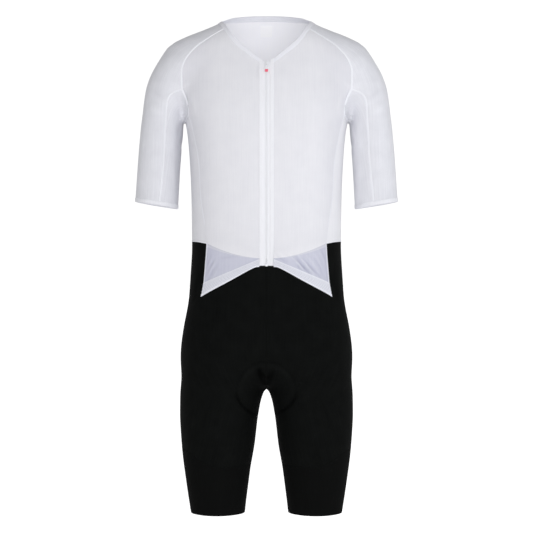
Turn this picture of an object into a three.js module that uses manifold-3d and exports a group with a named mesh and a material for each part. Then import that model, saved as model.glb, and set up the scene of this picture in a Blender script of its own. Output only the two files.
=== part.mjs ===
// A one-piece cycling roadsuit, worn shape with no wearer inside: a white raglan jersey with a full
// front zip, sewn at the sides and back to black padded shorts, its two front flaps hanging free.
// Millimetres, +Z up, +Y to the back, +X to the side. The origin lies between the shoulders, level
// with the base of the neck, where the wearer's shoulders carry the suit.
import * as THREE from "three";
import { mergeVertices } from "three/addons/utils/BufferGeometryUtils.js";
import Module from "manifold-3d";

const wasm = await Module();
wasm.setup();

// ---- Driving dimensions -------------------------------------------------------------------------

const CLOTH = 1.2; // wall of every cut cloth piece, inwards from the worn form
const SEAM_GAP = 0.3; // daylight between two pieces that are sewn together
const FLAP_LIFT = 2.8; // how far the free front flaps stand off the shorts below them
const BAND_PROUD = 0.5; // bindings and hem bands stand this much above the cloth
const CUFF_BAND = 8; // depth of the hem at each sleeve end
const UNDERARM_DROP = 2; // how far the side keeps below the underarm seam, where the cloth folds sharply
const ZIP = { half: 13.5, chainHalf: 2.3, top: -68, bottom: -462 };
const TAPE = { inner: -0.8, outer: 0 };
const CHAIN = { inner: -1.0, outer: 0.6 };
const PAD = { inner: -7.6, outer: -1.6 };
const LABEL = { inner: -2.3, outer: -1.7 };
const SLIDER = { length: 11, topWidth: 9, bottomWidth: 6.8, plate: 1.6, clear: 0.35 };
const BRIDGE = { half: 0.9, low: -2.9, high: 4.5, post: 1.2, bar: 1.1, rise: 2.25 };
const PULL = { pin: 0.7, arm: 0.8, half: 2.1, strapFrom: 4.0, strapTo: 13, plate: 1.4 };
const TIP = { width: 6.2, length: 4.6, thick: 2.4, clear: 0.12, from: 11.2 };

// ---- The worn form: level sections --------------------------------------------------------------
// Each row is a level section: its height, centre, half width, depth to the front and to the back
// of its centre, and how square it is (2 is an ellipse).

const TORSO = [
  { z: 60, x: 0, y: 0, half: 62, front: 52, back: 58, square: 2.0 },
  { z: 38, x: 0, y: 0, half: 69, front: 55, back: 62, square: 2.0 },
  { z: 28, x: 0, y: 0, half: 75, front: 58, back: 66, square: 2.0 },
  { z: 18, x: 0, y: 0, half: 84, front: 61, back: 71, square: 2.0 },
  { z: 8, x: 0, y: 0, half: 100, front: 65, back: 76, square: 2.05 },
  { z: -2, x: 0, y: 0, half: 123, front: 69, back: 81, square: 2.1 },
  { z: -10, x: 0, y: 0, half: 142, front: 73, back: 85, square: 2.1 },
  { z: -18, x: 0, y: 0, half: 158, front: 77, back: 88, square: 2.1 },
  { z: -29, x: 0, y: 0, half: 177, front: 81, back: 92, square: 2.1 },
  { z: -42, x: 0, y: 0, half: 188, front: 85, back: 96, square: 2.1 },
  { z: -60, x: 0, y: 0, half: 191, front: 90, back: 100, square: 2.15 },
  { z: -85, x: 0, y: 0, half: 185, front: 97, back: 104, square: 2.2 },
  { z: -115, x: 0, y: 0, half: 179, front: 104, back: 108, square: 2.3 },
  { z: -145, x: 0, y: 0, half: 170, front: 109, back: 109, square: 2.4 },
  { z: -175, x: 0, y: 0, half: 159.3, front: 112, back: 108, square: 2.5 },
  { z: -210, x: 0, y: 0, half: 153, front: 113, back: 106, square: 2.5 },
  { z: -260, x: 0, y: 0, half: 149, front: 111, back: 101, square: 2.45 },
  { z: -330, x: 0, y: 0, half: 146, front: 105, back: 93, square: 2.4 },
  { z: -420, x: 0, y: 0, half: 145, front: 101, back: 89, square: 2.3 },
  { z: -480, x: 0, y: 0, half: 148, front: 102, back: 97, square: 2.3 },
  { z: -540, x: 0, y: 0, half: 152, front: 102, back: 108, square: 2.3 },
  { z: -600, x: 0, y: 0, half: 154, front: 98, back: 114, square: 2.3 },
  { z: -660, x: 0, y: 0, half: 155, front: 90, back: 110, square: 2.3 },
];
const TORSO_FLOOR = { z: -686, round: 60 };

const SLEEVE = [
  { z: -20, x: 136, y: 4, half: 44, front: 50, back: 50, square: 2 },
  { z: -50, x: 150, y: 3, half: 54, front: 60, back: 60, square: 2 },
  { z: -80, x: 166, y: 2, half: 55, front: 63, back: 63, square: 2 },
  { z: -110, x: 181, y: 1, half: 52, front: 61, back: 61, square: 2 },
  { z: -140, x: 192, y: 0, half: 46.5, front: 57, back: 57, square: 2 },
  { z: -170, x: 201.2, y: 0, half: 40.8, front: 54, back: 54, square: 2 },
  { z: -210, x: 205, y: 0, half: 41.5, front: 51, back: 51, square: 2 },
  { z: -260, x: 209, y: -1, half: 41.5, front: 48, back: 48, square: 2 },
  { z: -350, x: 214.5, y: -3, half: 42, front: 45, back: 45, square: 2 },
];
const SLEEVE_TOP = { z: -34, round: 50 };

const LEG = [
  { z: -520, x: 72, y: 4, half: 62, front: 80, back: 90, square: 2.1 },
  { z: -580, x: 76, y: 4, half: 74, front: 86, back: 99, square: 2.1 },
  { z: -640, x: 82, y: 3, half: 81, front: 88, back: 101, square: 2.1 },
  { z: -698, x: 87, y: 2, half: 80.5, front: 88, back: 95, square: 2.1 },
  { z: -729, x: 90.5, y: 1, half: 78, front: 85, back: 88, square: 2.1 },
  { z: -760, x: 93, y: 0, half: 75.3, front: 81, back: 80, square: 2.05 },
  { z: -807, x: 94.2, y: -1, half: 71, front: 75, back: 71, square: 2 },
  { z: -854, x: 95.6, y: -2, half: 64.3, front: 68, back: 64, square: 2 },
  { z: -901, x: 95.3, y: -3, half: 57.8, front: 62, back: 58, square: 2 },
  { z: -960, x: 94, y: -4, half: 49.5, front: 55, back: 52, square: 2 },
];
const LEG_TOP = { z: -545, round: 60 };

const ARM_BLEND = { low: { z: -185, reach: 7 }, high: { z: -70, reach: 34 } };
const LEG_BLEND = { low: { z: -700, reach: 18 }, high: { z: -600, reach: 40 } };
const CROTCH_BLEND = 26;

const COLUMNS = ["x", "y", "half", "front", "back", "square"];

// Slopes of a smooth curve through each column of a table, flat wherever the column turns.
function slopesOf(table) {
  const slopes = table.map(() => ({}));
  for (const column of COLUMNS) {
    const steps = table
      .slice(1)
      .map((row, i) => (row[column] - table[i][column]) / (row.z - table[i].z));
    table.forEach((_, i) => {
      const before = steps[Math.max(0, i - 1)];
      const after = steps[Math.min(i, steps.length - 1)];
      slopes[i][column] = before * after > 0 ? (2 * before * after) / (before + after) : 0;
    });
  }
  return slopes;
}

const SLOPES = new Map([TORSO, SLEEVE, LEG].map((table) => [table, slopesOf(table)]));

function sectionAt(table, height) {
  const z = Math.min(table[0].z, Math.max(table.at(-1).z, height));
  let i = 0;
  while (i < table.length - 2 && z < table[i + 1].z) i += 1;
  const [a, b] = [table[i], table[i + 1]];
  const [slopeA, slopeB] = [SLOPES.get(table)[i], SLOPES.get(table)[i + 1]];
  const span = b.z - a.z;
  const t = (z - a.z) / span;
  const section = {};
  for (const c of COLUMNS) {
    const rise = t * t * (3 - 2 * t);
    const bend = t * (1 - t) * ((1 - t) * slopeA[c] - t * slopeB[c]) * span;
    section[c] = a[c] + (b[c] - a[c]) * rise + bend;
  }
  return section;
}

// How far a point is outside a level section, measured along the level ray from its centre.
function levelReach(s, x, y) {
  const [dx, dy] = [x - s.x, y - s.y];
  const depth = dy < 0 ? s.front : s.back;
  const power = s.square;
  const size = (Math.abs(dx / s.half) ** power + Math.abs(dy / depth) ** power) ** (1 / power);
  return Math.hypot(dx, dy) * (1 - 1 / Math.max(size, 0.02));
}

// The same as a distance square to the surface, except deep inside, where only its sign matters.
function tubeDistance(table, x, y, z) {
  const step = 0.5;
  const section = sectionAt(table, z);
  const here = levelReach(section, x, y);
  const slope = Math.hypot(
    (levelReach(section, x + step, y) - here) / step,
    (levelReach(section, x, y + step) - here) / step,
    (levelReach(sectionAt(table, z + step), x, y) - here) / step,
  );
  const deep = THREE.MathUtils.smoothstep(-here, 35, 60);
  return here / THREE.MathUtils.lerp(Math.max(slope, 0.3), 1, deep);
}

// The smaller of two distances, with the corner between them rounded over a reach.
function join(a, b, reach) {
  const near = Math.max(reach - Math.abs(a - b), 0) / reach;
  return Math.min(a, b) - (near * near * reach) / 4;
}

const trim = (a, b, reach) => -join(-a, -b, reach);

function between(range, z) {
  const t = THREE.MathUtils.smoothstep(z, range.low.z, range.high.z);
  return THREE.MathUtils.lerp(range.low.reach, range.high.reach, t);
}

// Distance to the worn form, below zero inside it.
function form(x, y, z) {
  const side = Math.abs(x);
  const torso = trim(
    tubeDistance(TORSO, side, y, z),
    TORSO_FLOOR.z - z,
    TORSO_FLOOR.round,
  );
  if (z > -480) {
    const sleeve = trim(tubeDistance(SLEEVE, side, y, z), z - SLEEVE_TOP.z, SLEEVE_TOP.round);
    return join(torso, sleeve, between(ARM_BLEND, z));
  }
  const legs = join(
    trim(tubeDistance(LEG, side, y, z), z - LEG_TOP.z, LEG_TOP.round),
    trim(tubeDistance(LEG, -side, y, z), z - LEG_TOP.z, LEG_TOP.round),
    CROTCH_BLEND,
  );
  return join(torso, legs, between(LEG_BLEND, z));
}

function slopeAt(p) {
  const step = 0.4;
  return new THREE.Vector3(
    form(p.x + step, p.y, p.z) - form(p.x - step, p.y, p.z),
    form(p.x, p.y + step, p.z) - form(p.x, p.y - step, p.z),
    form(p.x, p.y, p.z + step) - form(p.x, p.y, p.z - step),
  ).divideScalar(2 * step);
}

// The point of the worn form that a nearby point settles on.
function settle(point) {
  const p = point.clone();
  for (let turn = 0; turn < 14; turn += 1) {
    const off = form(p.x, p.y, p.z);
    if (Math.abs(off) < 0.002) break;
    const slope = slopeAt(p);
    const move = THREE.MathUtils.clamp(off, -14, 14) / Math.max(slope.lengthSq(), 0.2);
    p.addScaledVector(slope, -move);
  }
  return p;
}

// The point of the worn form met first on a straight way in from outside.
function meet(from, towards) {
  const way = towards.clone().sub(from);
  const at = (t) => from.clone().addScaledVector(way, t);
  let [outside, inside] = [0, 1];
  for (let t = 0; t <= 1; t += 0.01) {
    const p = at(t);
    if (form(p.x, p.y, p.z) < 0) {
      inside = t;
      break;
    }
    outside = t;
  }
  for (let turn = 0; turn < 24; turn += 1) {
    const middle = (outside + inside) / 2;
    const p = at(middle);
    if (form(p.x, p.y, p.z) < 0) inside = middle;
    else outside = middle;
  }
  return at(outside);
}

const vec = (x, y, z) => new THREE.Vector3(x, y, z);
const onFront = (x, z) => meet(vec(x, -260, z), vec(x, 0, z));
const onBack = (x, z) => meet(vec(x, 260, z), vec(x, 0, z));
const near = (x, y, z) => settle(vec(x, y, z));

// ---- Seam lines ---------------------------------------------------------------------------------

// A smooth line on the form through guide points, as steps + 1 evenly spaced points.
function line(points, steps) {
  if (points.length === 2) points.splice(1, 0, settle(points[0].clone().lerp(points[1], 0.5)));
  const curve = new THREE.CatmullRomCurve3(points, false, "centripetal");
  const spaced = curve.getSpacedPoints(steps);
  return spaced.map((p, i) => {
    if (i === 0) return points[0].clone();
    if (i === steps) return points.at(-1).clone();
    return settle(p);
  });
}

const chain = (...lines) => lines.flatMap((l, i) => (i ? l.slice(1) : l));
const back = (l) => [...l].reverse();
const mirrorPoint = (p) => vec(-p.x, p.y, p.z);

// ---- Seam lines, on the wearer's +X side; the other side is their mirror ------------------------

// Neck: the line where the panels meet the binding, and the free edge of the binding.
const neckSeam = {
  zip: onFront(ZIP.half, -76),
  front: near(81, -51, -11),
  back: near(61, 45, 23),
  middle: near(0, 65, 28),
};
const neckEdge = {
  zip: onFront(ZIP.half, ZIP.top),
  front: near(75, -50, -4.5),
  back: near(55, 41, 31),
  middle: near(0, 62, 37),
};
const STEPS = { vee: 7, sleeveTop: 8, backNeck: 5 };
const veeSeam = line(
  [neckSeam.zip, onFront(39.3, -56.3), onFront(62.5, -35.8), neckSeam.front],
  STEPS.vee,
);
const sleeveNeckSeam = line([neckSeam.front, near(93, 0, 12), neckSeam.back], STEPS.sleeveTop);
const backNeckSeam = line([neckSeam.back, near(32, 60, 27), neckSeam.middle], STEPS.backNeck);
const veeEdge = line(
  [neckEdge.zip, onFront(37.7, -47.4), onFront(59.7, -26.6), neckEdge.front],
  STEPS.vee,
);
const sleeveNeckEdge = line([neckEdge.front, near(85, 0, 18), neckEdge.back], STEPS.sleeveTop);
const backNeckEdge = line([neckEdge.back, near(30, 57, 36), neckEdge.middle], STEPS.backNeck);

// Raglans, armhole and underarm.
const pit = {
  front: near(164, -66, -124),
  frontLow: near(150, -54, -170),
  middle: near(159, 0, -178),
  backLow: near(150, 58, -168),
  back: near(166, 66, -122),
};
const raglanFront = line([neckSeam.front, near(140, -66, -45), near(161, -70, -76), pit.front], 6);
const raglanBack = line([neckSeam.back, near(118, 70, -28), near(158, 72, -76), pit.back], 6);
const armholeFront = line([pit.front, near(161, -65, -138), near(153, -60, -159), pit.frontLow], 3);
const armholeBack = line([pit.backLow, near(158, 66, -146), pit.back], 3);
const underarm = line(
  [pit.frontLow, near(157, -26, -177), pit.middle, near(157, 26, -177), pit.backLow],
  6,
);

// Sleeve seams down to the cuff, whose plane is a little higher on the outside of the arm.
const cuffHeight = (x) => -342 + (x - 215) * 0.17;
const onCuff = (x, y, above) => near(x, y, cuffHeight(x) + above);
const cuffPoint = (above) => ({ front: onCuff(205, -48, above), back: onCuff(207, 42, above) });
const cuffSeam = cuffPoint(CUFF_BAND);
const sleeveFrontSeam = line(
  [pit.front, near(186, -60, -135), near(193, -52, -184), near(197, -49, -257), cuffSeam.front],
  9,
);
const sleeveBackSeam = line(
  [pit.back, near(188, 58, -136), near(195, 50, -184), near(200, 46, -257), cuffSeam.back],
  9,
);

function cuffArcs(above) {
  const ends = cuffPoint(above);
  const outer = [onCuff(240, -36, above), onCuff(257, -3, above), onCuff(240, 31, above)];
  const inner = [onCuff(181, -33, above), onCuff(173, -3, above), onCuff(181, 30, above)];
  return {
    outer: line([ends.front, ...outer, ends.back], 8),
    inner: line([ends.front, ...inner, ends.back], 12),
  };
}
const cuffTop = cuffArcs(CUFF_BAND);
const cuffEdge = cuffArcs(0);

// Side seams, the waist seam and the front flaps.
const waist = {
  frontMiddle: onFront(0, -446),
  front: onFront(112.5, -416.5),
  side: near(146, 6, -411),
  back: near(108, 72, -405),
  backMiddle: onBack(0, -400),
};
const sideSeamFront = line(
  [pit.frontLow, onFront(139, -211), onFront(130, -259), onFront(126, -327), waist.front],
  10,
);
const sideSeamBack = line(
  [pit.backLow, onBack(138, -211), onBack(127, -259), onBack(122, -327), waist.back],
  10,
);
const waistFront = line([waist.front, near(135, -52, -413), waist.side], 3);
const waistSide = line([waist.side, near(134, 50, -408), waist.back], 3);
const waistBack = line([waist.back, onBack(56, -402), waist.backMiddle], 5);
const shortsTop = line([waist.frontMiddle, onFront(60, -437), waist.front], 6);

const hemSeam = { zip: onFront(ZIP.half, -447), side: onFront(118, -492) };
const hemEdge = { zip: onFront(ZIP.half, ZIP.bottom), side: onFront(123, -519) };
const flapEdge = line([waist.front, onFront(115, -455), hemSeam.side], 3);
const flapHemSeam = line([hemSeam.zip, onFront(66, -469), hemSeam.side], 7);
const flapHemEdge = line([hemEdge.zip, onFront(20, -462.5), onFront(70, -489), hemEdge.side], 7);
const zipSide = (x, top, bottom, steps) =>
  Array.from({ length: steps + 1 }, (_, i) => onFront(x, top + ((bottom - top) * i) / steps));

// Shorts: centre seams, inseam, side seam, the band seam and the leg hem.
const crotch = near(0, 4, -700);
const padTop = { front: onFront(0, -640), back: onBack(0, -628) };
const centreFront = chain(
  line([waist.frontMiddle, onFront(0, -545), padTop.front], 5),
  line([padTop.front, near(0, -82, -664), near(0, -44, -688), crotch], 4),
);
const centreBack = chain(
  line([waist.backMiddle, onBack(0, -520), padTop.back], 5),
  line([padTop.back, near(0, 96, -668), near(0, 50, -688), crotch], 4),
);
const inseamEnd = near(27, 0, -845);
const inseam = line([crotch, near(10, 2, -730), near(19, 1, -780), inseamEnd], 4);
const sideSeamEnd = near(160, 2, -810);
const shortsSide = line(
  [waist.side, near(150, 6, -500), near(163, 6, -620), near(172, 4, -700), sideSeamEnd],
  13,
);
const bandSeam = {
  front: line(
    [
      inseamEnd,
      near(60, -64, -845),
      near(97, -72, -845),
      near(122, -62, -834),
      near(145, -44, -819),
      sideSeamEnd,
    ],
    9,
  ),
  back: line([sideSeamEnd, near(140, 46, -824), near(97, 64, -842), near(52, 46, -845), inseamEnd], 8),
};
const legHem = {
  front: line(
    [
      near(41, -3, -938),
      near(60, -46, -938),
      near(95, -57, -938),
      near(130, -44, -938),
      near(147, -3, -938),
    ],
    9,
  ),
  back: line(
    [
      near(147, -3, -938),
      near(128, 40, -938),
      near(95, 51, -938),
      near(60, 38, -938),
      near(41, -3, -938),
    ],
    8,
  ),
};

// ---- Making pieces ------------------------------------------------------------------------------

const EVENING_TURNS = 10; // rounds that even out the points inside a panel

// A grid of points on the form between four lines that meet at their ends, row by row.
function patch(top, bottom, left, right) {
  const [rows, columns] = [left.length - 1, top.length - 1];
  const blend = (a, b, t) => a.clone().lerp(b, t);
  const grid = left.map((_, i) =>
    top.map((_, j) => {
      if (i === 0) return top[j];
      if (i === rows) return bottom[j];
      if (j === 0) return left[i];
      if (j === columns) return right[i];
      const [u, v] = [j / columns, i / rows];
      const corners = blend(blend(top[0], top.at(-1), u), blend(bottom[0], bottom.at(-1), u), v);
      return settle(
        blend(left[i], right[i], u).add(blend(top[j], bottom[j], v)).sub(corners),
      );
    }),
  );
  for (let turn = 0; turn < EVENING_TURNS; turn += 1) even(grid);
  return grid;
}

// Moves each inner point of a grid to the middle of its neighbours, back on the form.
function even(grid) {
  for (let i = 1; i < grid.length - 1; i += 1) {
    for (let j = 1; j < grid[i].length - 1; j += 1) {
      const around = [grid[i - 1][j], grid[i + 1][j], grid[i][j - 1], grid[i][j + 1]];
      grid[i][j] = settle(around.reduce((a, b) => a.clone().add(b)).divideScalar(4));
    }
  }
}

// A straight strip of cloth between two lines of equal count, with extra rows between them.
function strip(first, second, rows) {
  return Array.from({ length: rows + 1 }, (_, i) =>
    first.map((p, j) => {
      if (i === 0) return p;
      return i === rows ? second[j] : settle(p.clone().lerp(second[j], i / rows));
    }),
  );
}

// The grid with its outline drawn in along the cloth, so that sewn pieces never touch. A point of
// the outline moves square to both outline edges that meet there.
function drawIn(grid, ring) {
  const [rows, columns] = [grid.length - 1, grid[0].length - 1];
  const at = (i, j) => grid[i]?.[ring ? (j + columns + 1) % (columns + 1) : j];
  const inward = (p, along, inside) => {
    const edge = along.clone().sub(p).normalize();
    const move = inside.clone().sub(p);
    return move.addScaledVector(edge, -move.dot(edge)).normalize();
  };
  return grid.map((row, i) =>
    row.map((p, j) => {
      const moves = [];
      if (i === 0 || i === rows) {
        const inside = grid[i === 0 ? 1 : rows - 1][j];
        for (const next of [at(i, j - 1), at(i, j + 1)]) if (next) moves.push(inward(p, next, inside));
      }
      if (!ring && (j === 0 || j === columns)) {
        const inside = row[j === 0 ? 1 : columns - 1];
        for (const next of [at(i - 1, j), at(i + 1, j)]) if (next) moves.push(inward(p, next, inside));
      }
      if (moves.length === 0) return p;
      const [a, b] = [moves[0], moves.at(-1)];
      const share = Math.max(1 + a.dot(b), 0.4);
      return p.clone().addScaledVector(a.clone().add(b), SEAM_GAP / 2 / share);
    }),
  );
}

const flat = () => 0;

// The four-cornered cells of a grid; a ring closes from its last column to its first.
function cellsOf(grid, ring = false) {
  const cells = [];
  for (let i = 0; i < grid.length - 1; i += 1) {
    const [row, next] = [grid[i], grid[i + 1]];
    for (let j = 0; j < (ring ? row.length : row.length - 1); j += 1) {
      const k = (j + 1) % row.length;
      cells.push([row[j], next[j], next[k], row[k]]);
    }
  }
  return cells;
}

// A closed wall over cells that share corners, between two distances from the form.
function wallOver(cells, { inner = -CLOTH, outer = 0, lift = flat }) {
  const points = [];
  const numbers = new Map();
  const numberOf = (p) => {
    const key = p.toArray().map((v) => Math.round(v * 50)).join();
    if (!numbers.has(key)) {
      numbers.set(key, points.length);
      points.push(p);
    }
    return numbers.get(key);
  };
  const loops = cells.map((cell) => cell.map(numberOf));
  const count = points.length;
  const normals = points.map((p) => slopeAt(p).normalize());
  const positions = [outer, inner].flatMap((distance) =>
    points.flatMap((p, k) => p.clone().addScaledVector(normals[k], distance + lift(p)).toArray()),
  );
  const edges = new Set(loops.flatMap((l) => l.map((a, k) => `${a},${l[(k + 1) % 4]}`)));
  const faces = [];
  for (const [a, b, c, d] of loops) {
    faces.push(a, b, c, a, c, d);
    faces.push(count + a, count + c, count + b, count + a, count + d, count + c);
  }
  for (const edge of edges) {
    const [a, b] = edge.split(",").map(Number);
    if (edges.has(`${b},${a}`)) continue;
    faces.push(a, count + a, count + b, a, count + b, b);
  }
  return faceOut(positions, faces);
}

function wall(grid, { ring = false, ...layer } = {}) {
  return wallOver(cellsOf(drawIn(grid, ring), ring), layer);
}

function volumeOf(positions, faces) {
  const at = (k) => new THREE.Vector3().fromArray(positions, 3 * k);
  let six = 0;
  for (let k = 0; k < faces.length; k += 3) {
    six += at(faces[k]).dot(at(faces[k + 1]).cross(at(faces[k + 2])));
  }
  return six / 6;
}

function faceOut(positions, faces) {
  const geometry = new THREE.BufferGeometry();
  geometry.setAttribute("position", new THREE.Float32BufferAttribute(positions, 3));
  geometry.setIndex(volumeOf(positions, faces) > 0 ? faces : turned(faces));
  geometry.computeVertexNormals();
  return geometry;
}

function turned(faces) {
  const out = [];
  for (let k = 0; k < faces.length; k += 3) out.push(faces[k], faces[k + 2], faces[k + 1]);
  return out;
}

function mirrored(geometry) {
  const positions = Array.from(geometry.getAttribute("position").array, (v, k) => (k % 3 ? v : -v));
  return faceOut(positions, Array.from(geometry.getIndex().array));
}

// ---- Materials ----------------------------------------------------------------------------------

const cloth = (color, roughness) => () =>
  new THREE.MeshStandardMaterial({ color, roughness, metalness: 0 });
const MATERIALS = {
  ribbedKnit: cloth("#e3e4ea", 0.8),
  lightMesh: cloth("#f0eff4", 0.8),
  binding: cloth("#f2f1f6", 0.7),
  zipTape: cloth("#f3f4f7", 0.75),
  zipCoil: cloth("#fafafa", 0.4),
  blackLycra: cloth("#151414", 0.55),
  blackBand: cloth("#1b1a1a", 0.7),
  pad: cloth("#26262a", 0.9),
  label: cloth("#f7f7f8", 0.6),
  enamel: cloth("#f1f1f3", 0.35),
  coralRubber: cloth("#f3a0b0", 0.5),
};

const group = new THREE.Group();
group.name = "cycling_roadsuit";

function add(name, geometry, material) {
  const mesh = new THREE.Mesh(geometry, material());
  mesh.name = name;
  group.add(mesh);
}

function addPair(name, geometry, material) {
  add(`${name}_right`, geometry, material);
  add(`${name}_left`, mirrored(geometry), material);
}

// ---- Jersey -------------------------------------------------------------------------------------

const shortsTopHeight = (x) => -446 + 29.5 * Math.min(Math.abs(x) / 112.5, 1.2) ** 2;

// The flaps stand off the shorts from a little above the shorts' top edge downwards.
const flapLift = (p) => {
  const above = p.z - shortsTopHeight(p.x);
  return FLAP_LIFT * (1 - THREE.MathUtils.smoothstep(above, 6, 40));
};

const frontSide = chain(raglanFront, armholeFront, sideSeamFront, flapEdge);
const frontGrid = patch(
  veeSeam,
  flapHemSeam,
  zipSide(ZIP.half, -76, -447, frontSide.length - 1),
  frontSide,
);
addPair("front", wall(frontGrid, { lift: flapLift }), MATERIALS.lightMesh);

addPair(
  "hem_band",
  wall(strip(flapHemSeam, flapHemEdge, 1), { outer: BAND_PROUD, lift: flapLift }),
  MATERIALS.lightMesh,
);

const bothSides = (half) => chain(half, back(half).map(mirrorPoint));
const backSide = chain(raglanBack, back(armholeBack), sideSeamBack);
const backGrid = patch(
  bothSides(backNeckSeam),
  bothSides(waistBack),
  backSide,
  backSide.map(mirrorPoint),
);
add("back", wall(backGrid), MATERIALS.lightMesh);

const sideTop = underarm.map((p, i) => {
  if (i === 0 || i === underarm.length - 1) return p;
  return settle(p.clone().add(vec(-0.25 * UNDERARM_DROP, 0, -UNDERARM_DROP)));
});
const sideGrid = patch(sideTop, chain(waistFront, waistSide), sideSeamFront, sideSeamBack);
addPair("side", wall(sideGrid), MATERIALS.lightMesh);

const sleeveUpperGrid = patch(
  sleeveNeckSeam,
  cuffTop.outer,
  chain(raglanFront, sleeveFrontSeam),
  chain(raglanBack, sleeveBackSeam),
);
addPair("sleeve_upper", wall(sleeveUpperGrid), MATERIALS.ribbedKnit);

const sleeveUnderGrid = patch(
  chain(armholeFront, underarm, armholeBack),
  cuffTop.inner,
  sleeveFrontSeam,
  sleeveBackSeam,
);
addPair("sleeve_under", wall(sleeveUnderGrid), MATERIALS.ribbedKnit);

// A full ring from an outer and an inner arc that share both ends.
const ringOf = (arcs) => chain(arcs.outer, back(arcs.inner)).slice(0, -1);
addPair(
  "cuff",
  wall(strip(ringOf(cuffTop), ringOf(cuffEdge), 1), { outer: BAND_PROUD, ring: true }),
  MATERIALS.ribbedKnit,
);

const neckBandGrid = strip(
  bothSides(chain(veeSeam, sleeveNeckSeam, backNeckSeam)),
  bothSides(chain(veeEdge, sleeveNeckEdge, backNeckEdge)),
  1,
);
add("neck_binding", wall(neckBandGrid, { outer: BAND_PROUD }), MATERIALS.binding);

// ---- Zip ----------------------------------------------------------------------------------------

const TAPE_ROWS = 20;
const CHAIN_TOP = ZIP.top - 11;
const CHAIN_BOTTOM = ZIP.bottom + 6;
addPair(
  "zip_tape",
  wall(
    patch(
      [onFront(ZIP.chainHalf, ZIP.top), onFront(ZIP.half, ZIP.top)],
      [onFront(ZIP.chainHalf, ZIP.bottom), onFront(ZIP.half, ZIP.bottom)],
      zipSide(ZIP.chainHalf, ZIP.top, ZIP.bottom, TAPE_ROWS),
      zipSide(ZIP.half, ZIP.top, ZIP.bottom, TAPE_ROWS),
    ),
    { ...TAPE, lift: flapLift },
  ),
  MATERIALS.zipTape,
);

function chainPiece(top, bottom, rows, layer) {
  const edge = ZIP.chainHalf;
  const grid = patch(
    [onFront(-edge, top), onFront(edge, top)],
    [onFront(-edge, bottom), onFront(edge, bottom)],
    zipSide(-edge, top, bottom, rows),
    zipSide(edge, top, bottom, rows),
  );
  return wall(grid, { ...layer, lift: flapLift });
}
add("zip_chain", chainPiece(CHAIN_TOP, CHAIN_BOTTOM, TAPE_ROWS, CHAIN), MATERIALS.zipCoil);
add(
  "zip_stop",
  chainPiece(CHAIN_BOTTOM, ZIP.bottom + 1, 1, { inner: -1.2, outer: 0.9 }),
  MATERIALS.enamel,
);

// The slider and its pull are drawn in a frame on the zip: x across, y up the zip, z straight out.
const sliderSeat = onFront(0, CHAIN_TOP);
const up = onFront(0, CHAIN_TOP + 20).sub(onFront(0, CHAIN_TOP - 20)).normalize();
const toZip = new THREE.Matrix4()
  .makeBasis(vec(1, 0, 0), up, vec(1, 0, 0).cross(up))
  .setPosition(sliderSeat);

function solid(geometry) {
  const bare = new THREE.BufferGeometry();
  bare.setAttribute("position", geometry.getAttribute("position"));
  if (geometry.getIndex()) bare.setIndex(geometry.getIndex());
  const merged = mergeVertices(bare, 1e-4);
  return new wasm.Manifold(
    new wasm.Mesh({
      numProp: 3,
      vertProperties: new Float32Array(merged.getAttribute("position").array),
      triVerts: new Uint32Array(merged.getIndex().array),
    }),
  );
}

function box(x, y, z) {
  const size = [x, y, z].map(([low, high]) => high - low);
  const middle = [x, y, z].map(([low, high]) => (high + low) / 2);
  return solid(new THREE.BoxGeometry(...size).translate(...middle));
}

// A plate with rounded corners, its outline given by a width at each end.
function plate(topWidth, bottomWidth, top, bottom, [low, high], round) {
  const corners = [
    [-topWidth / 2, top],
    [-bottomWidth / 2, bottom],
    [bottomWidth / 2, bottom],
    [topWidth / 2, top],
  ].map(([x, y]) => new THREE.Vector2(x, y));
  const shape = new THREE.Shape();
  corners.forEach((corner, k) => {
    const before = corners[(k + 3) % 4].clone().sub(corner).setLength(round).add(corner);
    const after = corners[(k + 1) % 4].clone().sub(corner).setLength(round).add(corner);
    if (k === 0) shape.moveTo(before.x, before.y);
    else shape.lineTo(before.x, before.y);
    shape.quadraticCurveTo(corner.x, corner.y, after.x, after.y);
  });
  const options = { depth: high - low, bevelEnabled: false, curveSegments: 5 };
  return solid(new THREE.ExtrudeGeometry(shape, options).translate(0, 0, low));
}

function addHard(name, manifold, material) {
  const { vertProperties, triVerts } = manifold.getMesh();
  const geometry = new THREE.BufferGeometry();
  geometry.setAttribute("position", new THREE.Float32BufferAttribute(vertProperties, 3));
  geometry.setIndex(Array.from(triVerts));
  add(name, geometry.applyMatrix4(toZip), material);
}

const frontPlate = [CHAIN.outer + SLIDER.clear, CHAIN.outer + SLIDER.clear + SLIDER.plate];
const backPlate = [CHAIN.inner - SLIDER.clear - SLIDER.plate, CHAIN.inner - SLIDER.clear];
const sliderPlate = (range) =>
  plate(SLIDER.topWidth, SLIDER.bottomWidth, SLIDER.length / 2, -SLIDER.length / 2, range, 1.6);
const bridgeTop = frontPlate[1] + BRIDGE.rise;
const bridgeWidth = [-BRIDGE.half, BRIDGE.half];
const slider = sliderPlate(frontPlate)
  .add(sliderPlate(backPlate))
  .add(box([-1.8, 1.8], [0.5, 5], [backPlate[0] + 0.5, frontPlate[1] - 0.5]))
  .add(box(bridgeWidth, [BRIDGE.low, BRIDGE.low + BRIDGE.post], [frontPlate[0], bridgeTop + 0.5]))
  .add(box(bridgeWidth, [BRIDGE.high - BRIDGE.post, BRIDGE.high], [frontPlate[0], bridgeTop + 0.5]))
  .add(box(bridgeWidth, [BRIDGE.low, BRIDGE.high], [bridgeTop, bridgeTop + BRIDGE.bar]));
addHard("zip_slider", slider, MATERIALS.enamel);

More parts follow.
